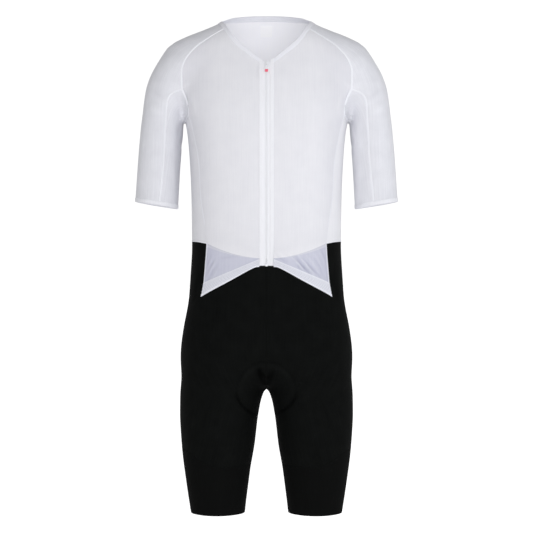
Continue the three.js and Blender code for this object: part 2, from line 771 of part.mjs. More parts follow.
// The pull swings on its pin, which passes under the slider's bridge.
const hinge = { up: -0.6, out: frontPlate[1] + SLIDER.clear + PULL.pin + 0.1 };
const pullPlate = [hinge.out - PULL.plate / 2, hinge.out + PULL.plate / 2];
const pin = solid(
  new THREE.CylinderGeometry(PULL.pin, PULL.pin, 2 * PULL.half, 20)
    .rotateZ(Math.PI / 2)
    .translate(0, hinge.up, hinge.out),
);
const below = (distance) => hinge.up - distance;
const arm = (side) =>
  box(
    side < 0 ? [-PULL.half, PULL.arm - PULL.half] : [PULL.half - PULL.arm, PULL.half],
    [below(PULL.strapFrom + 0.5), hinge.up],
    pullPlate,
  );
const strap = box([-PULL.half, PULL.half], [below(PULL.strapTo), below(PULL.strapFrom)], pullPlate);
addHard("zip_pull", pin.add(arm(-1)).add(arm(1)).add(strap), MATERIALS.enamel);

const tipHalf = TIP.thick / 2;
const tipBottom = below(TIP.from + TIP.length);
const tip = plate(
  TIP.width,
  TIP.width * 0.9,
  below(TIP.from),
  tipBottom,
  [hinge.out - tipHalf, hinge.out + tipHalf],
  1.2,
).subtract(
  box(
    [-PULL.half - TIP.clear, PULL.half + TIP.clear],
    [below(PULL.strapTo + TIP.clear), below(TIP.from - 1)],
    [pullPlate[0] - TIP.clear, pullPlate[1] + TIP.clear],
  ),
);
addHard("zip_pull_tip", tip, MATERIALS.coralRubber);

// ---- Shorts -------------------------------------------------------------------------------------

const shortsFrontGrid = patch(
  chain(shortsTop, waistFront),
  bandSeam.front,
  chain(centreFront, inseam),
  shortsSide,
);
addPair("shorts_front", wall(shortsFrontGrid), MATERIALS.blackLycra);

const shortsBackGrid = patch(
  back(chain(waistSide, waistBack)),
  back(bandSeam.back),
  chain(centreBack, inseam),
  shortsSide,
);
addPair("shorts_back", wall(shortsBackGrid), MATERIALS.blackLycra);

const bandRing = chain(bandSeam.front, bandSeam.back).slice(0, -1);
const hemRing = chain(legHem.front, legHem.back).slice(0, -1);
addPair("leg_band", wall(strip(bandRing, hemRing, 3), { ring: true }), MATERIALS.blackBand);

// The seat pad lies inside the four shorts panels, over the cells of theirs that meet at the crotch.
const PAD_ROWS = [5, 10];
const PAD_COLUMNS = 3;
const padBlock = (grid) =>
  cellsOf(grid.slice(PAD_ROWS[0], PAD_ROWS[1] + 1).map((row) => row.slice(0, PAD_COLUMNS + 1)));
const turnCell = ([a, b, c, d]) => [a, d, c, b];
const padCells = [...padBlock(shortsFrontGrid), ...padBlock(shortsBackGrid).map(turnCell)];
const mirroredCells = padCells.map((cell) => turnCell(cell).map(mirrorPoint));
add("seat_pad", wallOver([...padCells, ...mirroredCells], PAD), MATERIALS.pad);

// ---- Neck label, hung inside the back below the binding -----------------------------------------

const LABEL_ROWS = [0.4, 1, 1.4]; // where its top, fold and bottom lie on the rows of the back
const labelGrid = LABEL_ROWS.map((at) => {
  const [row, next] = backGrid.slice(Math.floor(at), Math.floor(at) + 2);
  const [left, middle, right] = row.map((p, j) => p.clone().lerp(next[j], at % 1)).slice(4, 7);
  return [middle.clone().lerp(left, 0.6), middle, middle.clone().lerp(right, 0.6)];
});
add("neck_label", wall(labelGrid, LABEL), MATERIALS.label);

export default group;
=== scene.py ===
import math

import bmesh
import bpy
import numpy as np
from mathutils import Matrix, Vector


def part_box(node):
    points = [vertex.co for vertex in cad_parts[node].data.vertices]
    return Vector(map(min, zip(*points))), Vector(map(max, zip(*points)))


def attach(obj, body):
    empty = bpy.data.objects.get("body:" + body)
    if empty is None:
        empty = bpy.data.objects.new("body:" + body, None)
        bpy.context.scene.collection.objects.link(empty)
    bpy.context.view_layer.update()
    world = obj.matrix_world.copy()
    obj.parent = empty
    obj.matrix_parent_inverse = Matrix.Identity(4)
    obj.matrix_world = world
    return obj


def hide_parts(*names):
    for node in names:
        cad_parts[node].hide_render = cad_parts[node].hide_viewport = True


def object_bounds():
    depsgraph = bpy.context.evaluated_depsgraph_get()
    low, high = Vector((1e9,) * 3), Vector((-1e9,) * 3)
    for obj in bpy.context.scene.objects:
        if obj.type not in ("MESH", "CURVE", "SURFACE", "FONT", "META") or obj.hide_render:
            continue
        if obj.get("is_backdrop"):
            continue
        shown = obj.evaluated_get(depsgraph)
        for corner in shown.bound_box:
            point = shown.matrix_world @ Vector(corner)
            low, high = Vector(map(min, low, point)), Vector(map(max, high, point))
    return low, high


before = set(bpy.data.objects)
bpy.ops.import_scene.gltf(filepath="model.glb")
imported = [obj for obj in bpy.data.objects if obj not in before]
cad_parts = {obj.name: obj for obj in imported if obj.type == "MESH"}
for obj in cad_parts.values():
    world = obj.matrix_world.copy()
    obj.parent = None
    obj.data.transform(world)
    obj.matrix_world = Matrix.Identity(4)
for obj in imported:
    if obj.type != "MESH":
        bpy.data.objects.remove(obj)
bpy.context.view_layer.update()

# ---- Camera, floor and light --------------------------------------------------------------------
# A long lens stands level with the middle of the suit. The floor is pale and plain, and one broad
# soft light from the front, a little to the suit's +X side, does most of the work.

camera_data = bpy.data.cameras.new("camera")
camera_data.lens = 103.9
camera_data.sensor_width = 36
camera = bpy.data.objects.new("camera", camera_data)
camera.location = (0, -3.0, -0.461)
camera.rotation_euler = (math.radians(90), 0, 0)
bpy.context.scene.collection.objects.link(camera)
bpy.context.scene.camera = camera
bpy.context.scene.view_settings.view_transform = "Standard"


def socket(node, name, value):
    """Sets one input of a shader node by its name."""
    node.inputs[name].default_value = value


def add_node(tree, kind, **settings):
    """A new shader node, with its settings."""
    node = tree.nodes.new(kind)
    for name, value in settings.items():
        setattr(node, name, value)
    return node


def new_material(name, colour, roughness, **sockets):
    """A Principled material; sockets are set by name, with underscores for spaces."""
    material = bpy.data.materials.new(name)
    material.use_nodes = True
    shader = material.node_tree.nodes["Principled BSDF"]
    socket(shader, "Base Color", (*colour, 1))
    socket(shader, "Roughness", roughness)
    for key, value in sockets.items():
        socket(shader, key.replace("_", " "), value)
    return material


def place_mesh(name, mesh, *materials):
    """A new object of a mesh, in the scene."""
    for material in materials:
        mesh.materials.append(material)
    piece = bpy.data.objects.new(name, mesh)
    bpy.context.scene.collection.objects.link(piece)
    return piece


def place_bmesh(name, bm, *materials):
    """The same from a bmesh, which is freed."""
    mesh = bpy.data.meshes.new(name)
    bm.to_mesh(mesh)
    bm.free()
    return place_mesh(name, mesh, *materials)


pale_floor = new_material("pale_floor", (0.8, 0.8, 0.8), 0.9, Emission_Color=(1, 1, 1, 1))
tree = pale_floor.node_tree
seen = add_node(tree, "ShaderNodeLightPath")
glow = add_node(tree, "ShaderNodeMapRange")
socket(glow, "To Min", 0.3)
socket(glow, "To Max", 0.85)
tree.links.new(seen.outputs["Is Camera Ray"], glow.inputs["Value"])
tree.links.new(glow.outputs["Result"], tree.nodes["Principled BSDF"].inputs["Emission Strength"])
bm = bmesh.new()
bmesh.ops.create_grid(bm, x_segments=1, y_segments=1, size=40)
bmesh.ops.translate(bm, verts=bm.verts, vec=(0, 0, -1.03))
place_bmesh("floor", bm, pale_floor)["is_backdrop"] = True

world = bpy.data.worlds.new("studio")
bpy.context.scene.world = world
world.use_nodes = True
sky = world.node_tree
backdrop = sky.nodes["Background"]
socket(backdrop, "Color", (1, 1, 1, 1))
direction = add_node(sky, "ShaderNodeTexCoord")
upward = add_node(sky, "ShaderNodeSeparateXYZ")
sky.links.new(direction.outputs["Generated"], upward.inputs[0])
fill = add_node(sky, "ShaderNodeMapRange")
for name, value in (("From Min", 0.0), ("From Max", 0.9), ("To Min", 0.58), ("To Max", 0.34)):
    socket(fill, name, value)
sky.links.new(upward.outputs["Z"], fill.inputs["Value"])
seen = add_node(sky, "ShaderNodeLightPath")
strength = add_node(sky, "ShaderNodeMix", data_type="FLOAT")
sky.links.new(seen.outputs["Is Camera Ray"], strength.inputs["Factor"])
sky.links.new(fill.outputs["Result"], strength.inputs["A"])
socket(strength, "B", 1.05)
sky.links.new(strength.outputs["Result"], backdrop.inputs["Strength"])


def area_light(name, place, target, size, power, colour):
    """A round soft light, turned to face its target."""
    data = bpy.data.lights.new(name, "AREA")
    data.shape = "DISK"
    data.size = size
    data.energy = power
    data.color = colour
    light = bpy.data.objects.new(name, data)
    light.location = place
    light.rotation_euler = (Vector(target) - Vector(place)).to_track_quat("-Z", "Y").to_euler()
    bpy.context.scene.collection.objects.link(light)


area_light("front_light", (0.35, -3.4, -0.25), (0, 0, -0.45), 2.2, 47, (0.975, 0.972, 1.0))
area_light("side_light", (2.85, -0.6, 0.0), (0, 0, -0.4), 1.6, 12, (0.92, 0.95, 1.0))

# ---- The worn form --------------------------------------------------------------------------------
# The suit keeps the shape that it has on a wearer, with nobody in it. Every panel is cut to lie on
# one smooth form, given by level sections in millimetres: height, centre, half width, depth to the
# front and back, and how square the section is. Two sleeves and two legs grow out of the torso.

MM = 0.001

TORSO = np.array([  # z, x, y, half, front, back, square
    (60, 0, 0, 62, 52, 58, 2.0),
    (38, 0, 0, 69, 55, 62, 2.0),
    (28, 0, 0, 75, 58, 66, 2.0),
    (18, 0, 0, 84, 61, 71, 2.0),
    (8, 0, 0, 100, 65, 76, 2.05),
    (-2, 0, 0, 123, 69, 81, 2.1),
    (-10, 0, 0, 142, 73, 85, 2.1),
    (-18, 0, 0, 158, 77, 88, 2.1),
    (-29, 0, 0, 177, 81, 92, 2.1),
    (-42, 0, 0, 188, 85, 96, 2.1),
    (-60, 0, 0, 191, 90, 100, 2.15),
    (-85, 0, 0, 185, 97, 104, 2.2),
    (-115, 0, 0, 179, 104, 108, 2.3),
    (-145, 0, 0, 170, 109, 109, 2.4),
    (-175, 0, 0, 159.3, 112, 108, 2.5),
    (-210, 0, 0, 153, 113, 106, 2.5),
    (-260, 0, 0, 149, 111, 101, 2.45),
    (-330, 0, 0, 146, 105, 93, 2.4),
    (-420, 0, 0, 145, 101, 89, 2.3),
    (-480, 0, 0, 148, 102, 97, 2.3),
    (-540, 0, 0, 152, 102, 108, 2.3),
    (-600, 0, 0, 154, 98, 114, 2.3),
    (-660, 0, 0, 155, 90, 110, 2.3),
])
SLEEVE = np.array([
    (-20, 136, 4, 44, 50, 50, 2),
    (-50, 150, 3, 54, 60, 60, 2),
    (-80, 166, 2, 55, 63, 63, 2),
    (-110, 181, 1, 52, 61, 61, 2),
    (-140, 192, 0, 46.5, 57, 57, 2),
    (-170, 201.2, 0, 40.8, 54, 54, 2),
    (-210, 205, 0, 41.5, 51, 51, 2),
    (-260, 209, -1, 41.5, 48, 48, 2),
    (-350, 214.5, -3, 42, 45, 45, 2),
])
LEG = np.array([
    (-520, 72, 4, 62, 80, 90, 2.1),
    (-580, 76, 4, 74, 86, 99, 2.1),
    (-640, 82, 3, 81, 88, 101, 2.1),
    (-698, 87, 2, 80.5, 88, 95, 2.1),
    (-729, 90.5, 1, 78, 85, 88, 2.1),
    (-760, 93, 0, 75.3, 81, 80, 2.05),
    (-807, 94.2, -1, 71, 75, 71, 2),
    (-854, 95.6, -2, 64.3, 68, 64, 2),
    (-901, 95.3, -3, 57.8, 62, 58, 2),
    (-960, 94, -4, 49.5, 55, 52, 2),
])
FLOOR_OF_TORSO, FLOOR_ROUND = -686, 60
SLEEVE_TOP, SLEEVE_ROUND = -34, 50
LEG_TOP, LEG_ROUND = -545, 60
CROTCH_BLEND = 26
LEGS_BELOW = -480  # no sleeve reaches below this height, and no leg above it


def slopes_of(rows):
    """Slopes of a smooth curve through each column, flat wherever the column turns."""
    steps = np.diff(rows[:, 1:], axis=0) / np.diff(rows[:, :1], axis=0)
    before, after = np.vstack([steps[:1], steps]), np.vstack([steps, steps[-1:]])
    same_way = before * after > 0
    total = np.where(same_way, before + after, 1)
    return np.where(same_way, 2 * before * after / total, 0)


SLOPES = {id(rows): slopes_of(rows) for rows in (TORSO, SLEEVE, LEG)}


def section_at(rows, height):
    """The section's six columns at each height."""
    z = np.clip(height, rows[-1, 0], rows[0, 0])
    i = np.clip(np.searchsorted(-rows[:, 0], -z) - 1, 0, len(rows) - 2)
    a, b = rows[i], rows[i + 1]
    span = (b[:, 0] - a[:, 0])[:, None]
    t = (z[:, None] - a[:, :1]) / span
    slopes = SLOPES[id(rows)]
    bend = t * (1 - t) * ((1 - t) * slopes[i] - t * slopes[i + 1]) * span
    return (a[:, 1:] + (b[:, 1:] - a[:, 1:]) * t * t * (3 - 2 * t) + bend).T


def level_reach(section, x, y):
    """How far points are outside a level section, along the level ray from its centre."""
    middle_x, middle_y, half, front, back, square = section
    dx, dy = x - middle_x, y - middle_y
    depth = np.where(dy < 0, front, back)
    size = (np.abs(dx / half) ** square + np.abs(dy / depth) ** square) ** (1 / square)
    return np.hypot(dx, dy) * (1 - 1 / np.maximum(size, 0.02))


def ease(value, low, high):
    """From 0 at low to 1 at high, smoothly."""
    t = np.clip((value - low) / (high - low), 0, 1)
    return t * t * (3 - 2 * t)


def tube_distance(rows, x, y, z):
    """Distance to a tube of sections, square to its wall."""
    step = 0.5
    section = section_at(rows, z)
    here = level_reach(section, x, y)
    slope = np.sqrt(
        ((level_reach(section, x + step, y) - here) / step) ** 2
        + ((level_reach(section, x, y + step) - here) / step) ** 2
        + ((level_reach(section_at(rows, z + step), x, y) - here) / step) ** 2
    )
    deep = ease(-here, 35, 60)
    return here / (np.maximum(slope, 0.3) * (1 - deep) + deep)


def join(a, b, reach):
    """The smaller of two distances, with the corner between them rounded over a reach."""
    near = np.maximum(reach - np.abs(a - b), 0) / reach
    return np.minimum(a, b) - near * near * reach / 4


def trim(a, b, reach):
    """The larger of two distances, rounded in the same way."""
    return -join(-a, -b, reach)


def form(points):
    """Distance of each point to the worn form, below zero inside it."""
    x, y, z = points.T
    side = np.abs(x)
    distance = trim(tube_distance(TORSO, side, y, z), FLOOR_OF_TORSO - z, FLOOR_ROUND)
    up = z > LEGS_BELOW
    if up.any():
        arm = trim(tube_distance(SLEEVE, side[up], y[up], z[up]), z[up] - SLEEVE_TOP, SLEEVE_ROUND)
        distance[up] = join(distance[up], arm, 7 + 27 * ease(z[up], -185, -70))
    if not up.all():
        x, y, z = side[~up], y[~up], z[~up]
        own = trim(tube_distance(LEG, x, y, z), z - LEG_TOP, LEG_ROUND)
        other = trim(tube_distance(LEG, -x, y, z), z - LEG_TOP, LEG_ROUND)
        legs = join(own, other, CROTCH_BLEND)
        distance[~up] = join(distance[~up], legs, 18 + 22 * ease(z, -700, -600))
    return distance


def slope_at(points):
    """The form's slope, which points straight out of the cloth."""
    step = 0.4
    sides = [form(points + step * axis) - form(points - step * axis) for axis in np.eye(3)]
    return np.stack(sides, axis=1) / (2 * step)


def settle(points, turns=14):
    """The points of the form that nearby points settle on."""
    shape = np.shape(points)
    moved = np.array(points, float).reshape(-1, 3)
    left = np.arange(len(moved))
    for _ in range(turns):
        off = form(moved[left])
        left, off = left[np.abs(off) > 0.002], off[np.abs(off) > 0.002]
        if not len(left):
            break
        slope = slope_at(moved[left])
        size = np.maximum((slope**2).sum(1), 0.2)
        moved[left] -= slope * (np.clip(off, -14, 14) / size)[:, None]
    return moved.reshape(shape)


def near(x, y, z):
    """The form's point nearest to here, more or less."""
    return settle((x, y, z))


def meet(x, z, start):
    """The form met first on a level line in from the front or the back."""
    x, z = np.broadcast_arrays(np.atleast_1d(x).astype(float), np.atleast_1d(z).astype(float))
    tries = np.linspace(start, 0, 101)
    inside = np.array([form(np.stack([x, np.full_like(x, y), z], 1)) < 0 for y in tries])
    first = inside.argmax(0)
    inner, outer = tries[first], tries[first - 1]
    for _ in range(24):
        middle = (inner + outer) / 2
        hit = form(np.stack([x, middle, z], 1)) < 0
        inner, outer = np.where(hit, middle, inner), np.where(hit, outer, middle)
    return np.stack([x, outer, z], 1)


def on_front(x, z):
    """The front of the form at each x and z."""
    found = meet(x, z, -260)
    return found[0] if np.ndim(x) == np.ndim(z) == 0 else found


def on_back(x, z):
    """The back of the form at each x and z."""
    found = meet(x, z, 260)
    return found[0] if np.ndim(x) == np.ndim(z) == 0 else found


# ---- Seam lines -----------------------------------------------------------------------------------
# The lines that the panels are cut and sewn along, drawn on the +X half of the form through a few
# guide points each. The other half is their mirror. Each step of a line is cut into FINE parts.

FINE = 8
ZIP_HALF, CHAIN_HALF = 13.5, 2.3
ZIP_TOP, ZIP_BOTTOM = -68, -462
NECK_POINT, HEM_POINT = -76, -447  # where the neck seam and the hem band's seam meet the zip
CUFF_BAND = 8
SCOOP_LOW, SCOOP_RISE, FLAP_CORNER = -446, 29.5, 112.5  # the shorts' scooped top, to the flap's corner
FLAP_GAP = 2.8


def smooth_curve(guides, count):
    """Evenly spaced points on a smooth curve through the guide points."""
    p = np.asarray(guides, float)
    p = np.vstack([2 * p[0] - p[1], p, 2 * p[-1] - p[-2]])
    runs = []
    for a, b, c, d in zip(p, p[1:], p[2:], p[3:]):
        before, along, after = (np.linalg.norm(q) ** 0.5 for q in (b - a, c - b, d - c))
        start = ((b - a) / before - (c - a) / (before + along) + (c - b) / along) * along
        end = ((c - b) / along - (d - b) / (along + after) + (d - c) / after) * along
        t = np.linspace(0, 1, 60, endpoint=False)[:, None]
        runs.append(
            b + start * t + (3 * (c - b) - 2 * start - end) * t**2 + (2 * (b - c) + start + end) * t**3
        )
    dense = np.vstack([*runs, p[-2:-1]])
    far = np.r_[0, np.cumsum(np.linalg.norm(np.diff(dense, axis=0), axis=1))]
    at = np.linspace(0, far[-1], count)
    return np.stack([np.interp(at, far, axis) for axis in dense.T], axis=1)


def line(guides, steps):
    """A seam line over the form through its guide points."""
    if len(guides) == 2:
        guides = [guides[0], settle((guides[0] + guides[1]) / 2), guides[1]]
    points = settle(smooth_curve(guides, steps * FINE + 1))
    points[0], points[-1] = guides[0], guides[-1]
    return points


def chain(*lines):
    """Lines that follow each other, as one."""
    return np.vstack([lines[0], *[l[1:] for l in lines[1:]]])


MIRROR = np.array([-1, 1, 1])
SIDES = (("right", np.ones(3)), ("left", MIRROR))


def both_sides(half):
    """A line that ends on the middle of the suit, and on along its mirror."""
    return chain(half, (half * MIRROR)[::-1])


neck = {
    "zip": on_front(ZIP_HALF, NECK_POINT),
    "front": near(81, -51, -11),
    "back": near(61, 45, 23),
    "middle": near(0, 65, 28),
}
neck_edge = {
    "zip": on_front(ZIP_HALF, ZIP_TOP),
    "front": near(75, -50, -4.5),
    "back": near(55, 41, 31),
    "middle": near(0, 62, 37),
}
vee_seam = line([neck["zip"], on_front(39.3, -56.3), on_front(62.5, -35.8), neck["front"]], 7)
sleeve_neck_seam = line([neck["front"], near(93, 0, 12), neck["back"]], 8)
back_neck_seam = line([neck["back"], near(32, 60, 27), neck["middle"]], 5)
vee_edge = line([neck_edge["zip"], on_front(37.7, -47.4), on_front(59.7, -26.6), neck_edge["front"]], 7)
sleeve_neck_edge = line([neck_edge["front"], near(85, 0, 18), neck_edge["back"]], 8)
back_neck_edge = line([neck_edge["back"], near(30, 57, 36), neck_edge["middle"]], 5)

pit = {
    "front": near(164, -66, -124),
    "front_low": near(150, -54, -170),
    "middle": near(159, 0, -178),
    "back_low": near(150, 58, -168),
    "back": near(166, 66, -122),
}
raglan_front = line([neck["front"], near(140, -66, -45), near(161, -70, -76), pit["front"]], 6)
raglan_back = line([neck["back"], near(118, 70, -28), near(158, 72, -76), pit["back"]], 6)
armhole_front = line([pit["front"], near(161, -65, -138), near(153, -60, -159), pit["front_low"]], 3)
armhole_back = line([pit["back_low"], near(158, 66, -146), pit["back"]], 3)
underarm = line(
    [pit["front_low"], near(157, -26, -177), pit["middle"], near(157, 26, -177), pit["back_low"]], 6
)


def on_cuff(x, y, above):
    """A point near the cuff's edge, whose plane is a little higher on the outside of the arm."""
    return near(x, y, -342 + (x - 215) * 0.17 + above)


def cuff_arcs(above):
    """The outer and the inner half of a line round the cuff."""
    front, back = on_cuff(205, -48, above), on_cuff(207, 42, above)
    outer = [on_cuff(240, -36, above), on_cuff(257, -3, above), on_cuff(240, 31, above)]
    inner = [on_cuff(181, -33, above), on_cuff(173, -3, above), on_cuff(181, 30, above)]
    return line([front, *outer, back], 8), line([front, *inner, back], 12)


cuff_top_outer, cuff_top_inner = cuff_arcs(CUFF_BAND)
cuff_edge_outer, cuff_edge_inner = cuff_arcs(0)
sleeve_front_seam = line(
    [pit["front"], near(186, -60, -135), near(193, -52, -184), near(197, -49, -257), cuff_top_outer[0]],
    9,
)
sleeve_back_seam = line(
    [pit["back"], near(188, 58, -136), near(195, 50, -184), near(200, 46, -257), cuff_top_outer[-1]], 9
)

waist = {
    "front_middle": on_front(0, SCOOP_LOW),
    "front": on_front(FLAP_CORNER, SCOOP_LOW + SCOOP_RISE),
    "side": near(146, 6, -411),
    "back": near(108, 72, -405),
    "back_middle": on_back(0, -400),
}
side_seam_front = line(
    [pit["front_low"], on_front(139, -211), on_front(130, -259), on_front(126, -327), waist["front"]],
    10,
)
side_seam_back = line(
    [pit["back_low"], on_back(138, -211), on_back(127, -259), on_back(122, -327), waist["back"]], 10
)
waist_front = line([waist["front"], near(135, -52, -413), waist["side"]], 3)
waist_side = line([waist["side"], near(134, 50, -408), waist["back"]], 3)
waist_back = line([waist["back"], on_back(56, -402), waist["back_middle"]], 5)
shorts_top = line([waist["front_middle"], on_front(60, -437), waist["front"]], 6)


def shorts_top_height(x):
    """The height of the shorts' scooped top edge behind the flaps."""
    return SCOOP_LOW + SCOOP_RISE * np.minimum(np.abs(x) / FLAP_CORNER, 1.2) ** 2


def flap_lift(points):
    """How far the front stands off the form: its free flaps hang just clear of the shorts."""
    return FLAP_GAP * (1 - ease(points[..., 2] - shorts_top_height(points[..., 0]), 6, 40))


def zip_side(x, top, bottom, steps):
    """A line down the front, beside the zip."""
    heights = np.linspace(top, bottom, steps * FINE + 1)
    return on_front(np.full_like(heights, x), heights)


scoop = np.linspace(ZIP_HALF, FLAP_CORNER, 7 * FINE + 1)
scoop_line = on_front(scoop, shorts_top_height(scoop))
scoop_line[-1] = waist["front"]
flap_edge = line([waist["front"], on_front(115, -455), on_front(118, -492)], 3)
flap_hem_seam = line([on_front(ZIP_HALF, HEM_POINT), on_front(66, -469), on_front(118, -492)], 7)
flap_hem_edge = line(
    [on_front(ZIP_HALF, ZIP_BOTTOM), on_front(20, -462.5), on_front(70, -489), on_front(123, -519)], 7
)

crotch = near(0, 4, -700)
pad_front, pad_back = on_front(0, -640), on_back(0, -628)
centre_front = chain(
    line([waist["front_middle"], on_front(0, -545), pad_front], 5),
    line([pad_front, near(0, -82, -664), near(0, -44, -688), crotch], 4),
)
centre_back = chain(
    line([waist["back_middle"], on_back(0, -520), pad_back], 5),
    line([pad_back, near(0, 96, -668), near(0, 50, -688), crotch], 4),
)
inseam_end, side_end = near(27, 0, -845), near(160, 2, -810)
inseam = line([crotch, near(10, 2, -730), near(19, 1, -780), inseam_end], 4)
shorts_side = line(
    [waist["side"], near(150, 6, -500), near(163, 6, -620), near(172, 4, -700), side_end], 13
)
band_front = [(60, -64, -845), (97, -72, -845), (122, -62, -834), (145, -44, -819)]
band_back = [(140, 46, -824), (97, 64, -842), (52, 46, -845)]
band_seam_front = line([inseam_end, *[near(*place) for place in band_front], side_end], 9)
band_seam_back = line([side_end, *[near(*place) for place in band_back], inseam_end], 8)
LEG_HEM = -938
hem_in, hem_out = near(41, -3, LEG_HEM), near(147, -3, LEG_HEM)
hem_front = [near(x, y, LEG_HEM) for x, y in ((60, -46), (95, -57), (130, -44))]
hem_back = [near(x, y, LEG_HEM) for x, y in ((128, 40), (95, 51), (60, 38))]
leg_hem_front = line([hem_in, *hem_front, hem_out], 9)
leg_hem_back = line([hem_out, *hem_back, hem_in], 8)

# ---- Front panels ---------------------------------------------------------------------------------
# Two fronts of very light mesh knit run from the neck to the waist, one on each side of the zip, and
# go on below it as flaps that hang free over the shorts. They are cut with the ribs along the zip,
# and one layer over black shows grey.

EVENING_TURNS = 12


def coons(top, bottom, left, right):
    """The plain blend between four lines that meet at their ends, row by row."""
    u = np.linspace(0, 1, len(top))[None, :, None]
    v = np.linspace(0, 1, len(left))[:, None, None]
    corners = (1 - v) * ((1 - u) * top[0] + u * top[-1]) + v * ((1 - u) * bottom[0] + u * bottom[-1])
    return (1 - u) * left[:, None] + u * right[:, None] + (1 - v) * top + v * bottom - corners


def finer(values, steps=None):
    """A smooth curve through rows of values, at the given steps or FINE times as many."""
    steps = np.linspace(0, len(values) - 1, (len(values) - 1) * FINE + 1) if steps is None else steps
    i = np.minimum(steps.astype(int), len(values) - 2)
    t = (steps - i).reshape(-1, *[1] * (values.ndim - 1))
    p = np.concatenate([2 * values[:1] - values[1:2], values, 2 * values[-1:] - values[-2:-1]])
    a, b, c, d = p[i], p[i + 1], p[i + 2], p[i + 3]
    return b + t / 2 * (c - a + t * (2 * a - 5 * b + 4 * c - d + t * (3 * (b - c) + d - a)))


def patch(top, bottom, left, right):
    """A fine grid of points on the form between four lines."""
    plain = coons(top[::FINE], bottom[::FINE], left[::FINE], right[::FINE])
    grid = plain.copy()
    grid[1:-1, 1:-1] = settle(plain[1:-1, 1:-1])
    for _ in range(EVENING_TURNS):
        around = grid[:-2, 1:-1] + grid[2:, 1:-1] + grid[1:-1, :-2] + grid[1:-1, 2:]
        grid[1:-1, 1:-1] = settle(around / 4, 4)
    shift = finer(finer(grid - plain).swapaxes(0, 1)).swapaxes(0, 1)
    fine = coons(top, bottom, left, right)
    fine[1:-1, 1:-1] = settle((fine + shift)[1:-1, 1:-1], 6)
    return fine


def strip(first, second, rows):
    """A band of points on the form between two lines of equal count."""
    t = np.linspace(0, 1, rows + 1)[:, None, None]
    grid = (1 - t) * first + t * second
    grid[1:-1] = settle(grid[1:-1], 6)
    return grid


def travelled(points):
    """Distance along the first axis of an array of points, from its start."""
    steps = np.linalg.norm(np.diff(points, axis=0), axis=-1)
    return np.concatenate([np.zeros_like(steps[:1]), np.cumsum(steps, axis=0)])


def grain(grid, start=0.0, middle=0, level=True):
    """Where each point lies on the flat cloth, in metres: across the ribs, then along them."""
    across = travelled((grid[..., :2] if level else grid).swapaxes(0, 1)).T
    across = across - across[:, middle : middle + 1] + start
    along = grid[..., 2] if level else -np.repeat(travelled(grid[:, middle])[:, None], len(grid[0]), 1)
    return np.stack([across, along], axis=-1) * MM


FOLD_STEPS = 16


def fold(guides, width, rise):
    """A soft crease in the cloth: its path over the form, its width, and its rise or, below 0, dip."""
    return settle(smooth_curve(guides, FOLD_STEPS + 1)), width, rise


def folds_on(face, *rows):
    """Creases on the front or the back: the x and z of each one's guide points, its width and rise."""
    return [fold(face(*np.array(places, float).T), width, rise) for *places, width, rise in rows]


def fold_height(points, folds):
    """How far all the creases together lift the cloth at each point, in millimetres."""
    flat = points.reshape(-1, 3)
    height = np.zeros(len(flat))
    for path, width, rise in folds:
        reach = 3 * width
        close = ((flat > path.min(0) - reach) & (flat < path.max(0) + reach)).all(1)
        if not close.any():
            continue
        run = np.diff(path, axis=0)
        away = flat[close][:, None] - path[:-1]
        t = np.clip((away * run).sum(2) / (run**2).sum(1), 0, 1)
        gap = np.linalg.norm(away - t[..., None] * run, axis=2)
        nearest = gap.argmin(1)
        at = (nearest + t[np.arange(len(t)), nearest]) / FOLD_STEPS
        fade = np.sin(math.pi * at) ** 0.7
        height[close] += rise * fade * np.exp(-((gap.min(1) / width) ** 2))
    return height.reshape(points.shape[:-1])


def seam_pull(grid, sides, seed):
    """Cloth beside a seam is drawn in a little, and puckers between the stitches."""
    height = np.zeros(grid.shape[:2])
    for side in sides:
        sideways = side in ("left", "right")
        turned = grid.swapaxes(0, 1) if sideways else grid
        turned = turned[::-1] if side in ("bottom", "right") else turned
        gap, along = travelled(turned), travelled(turned[0])
        wander = 1.9 * np.sin(along / 16 + seed) + 1.2 * np.sin(along / 43 + 2 * seed)
        pucker = 0.5 + 0.5 * np.sin(along * 2 * math.pi / 6.5 + wander)
        pull = -0.3 * np.exp(-((gap / 3) ** 2)) - 0.32 * pucker * np.exp(-gap / 5) * ease(gap, 0, 3)
        pull = pull[::-1] if side in ("bottom", "right") else pull
        height += pull.T if sideways else pull
    return height


def outward(points):
    """The way straight out of the cloth at each point."""
    out = slope_at(points)
    return out / np.maximum(np.linalg.norm(out, axis=1), 1e-6)[:, None]


def raised(points, amount):
    """Points moved straight out of the cloth, each by its own amount in millimetres."""
    flat = points.reshape(-1, 3)
    moves = np.ravel(np.broadcast_to(amount, points.shape[:-1]))[:, None]
    return (flat + outward(flat) * moves).reshape(points.shape)


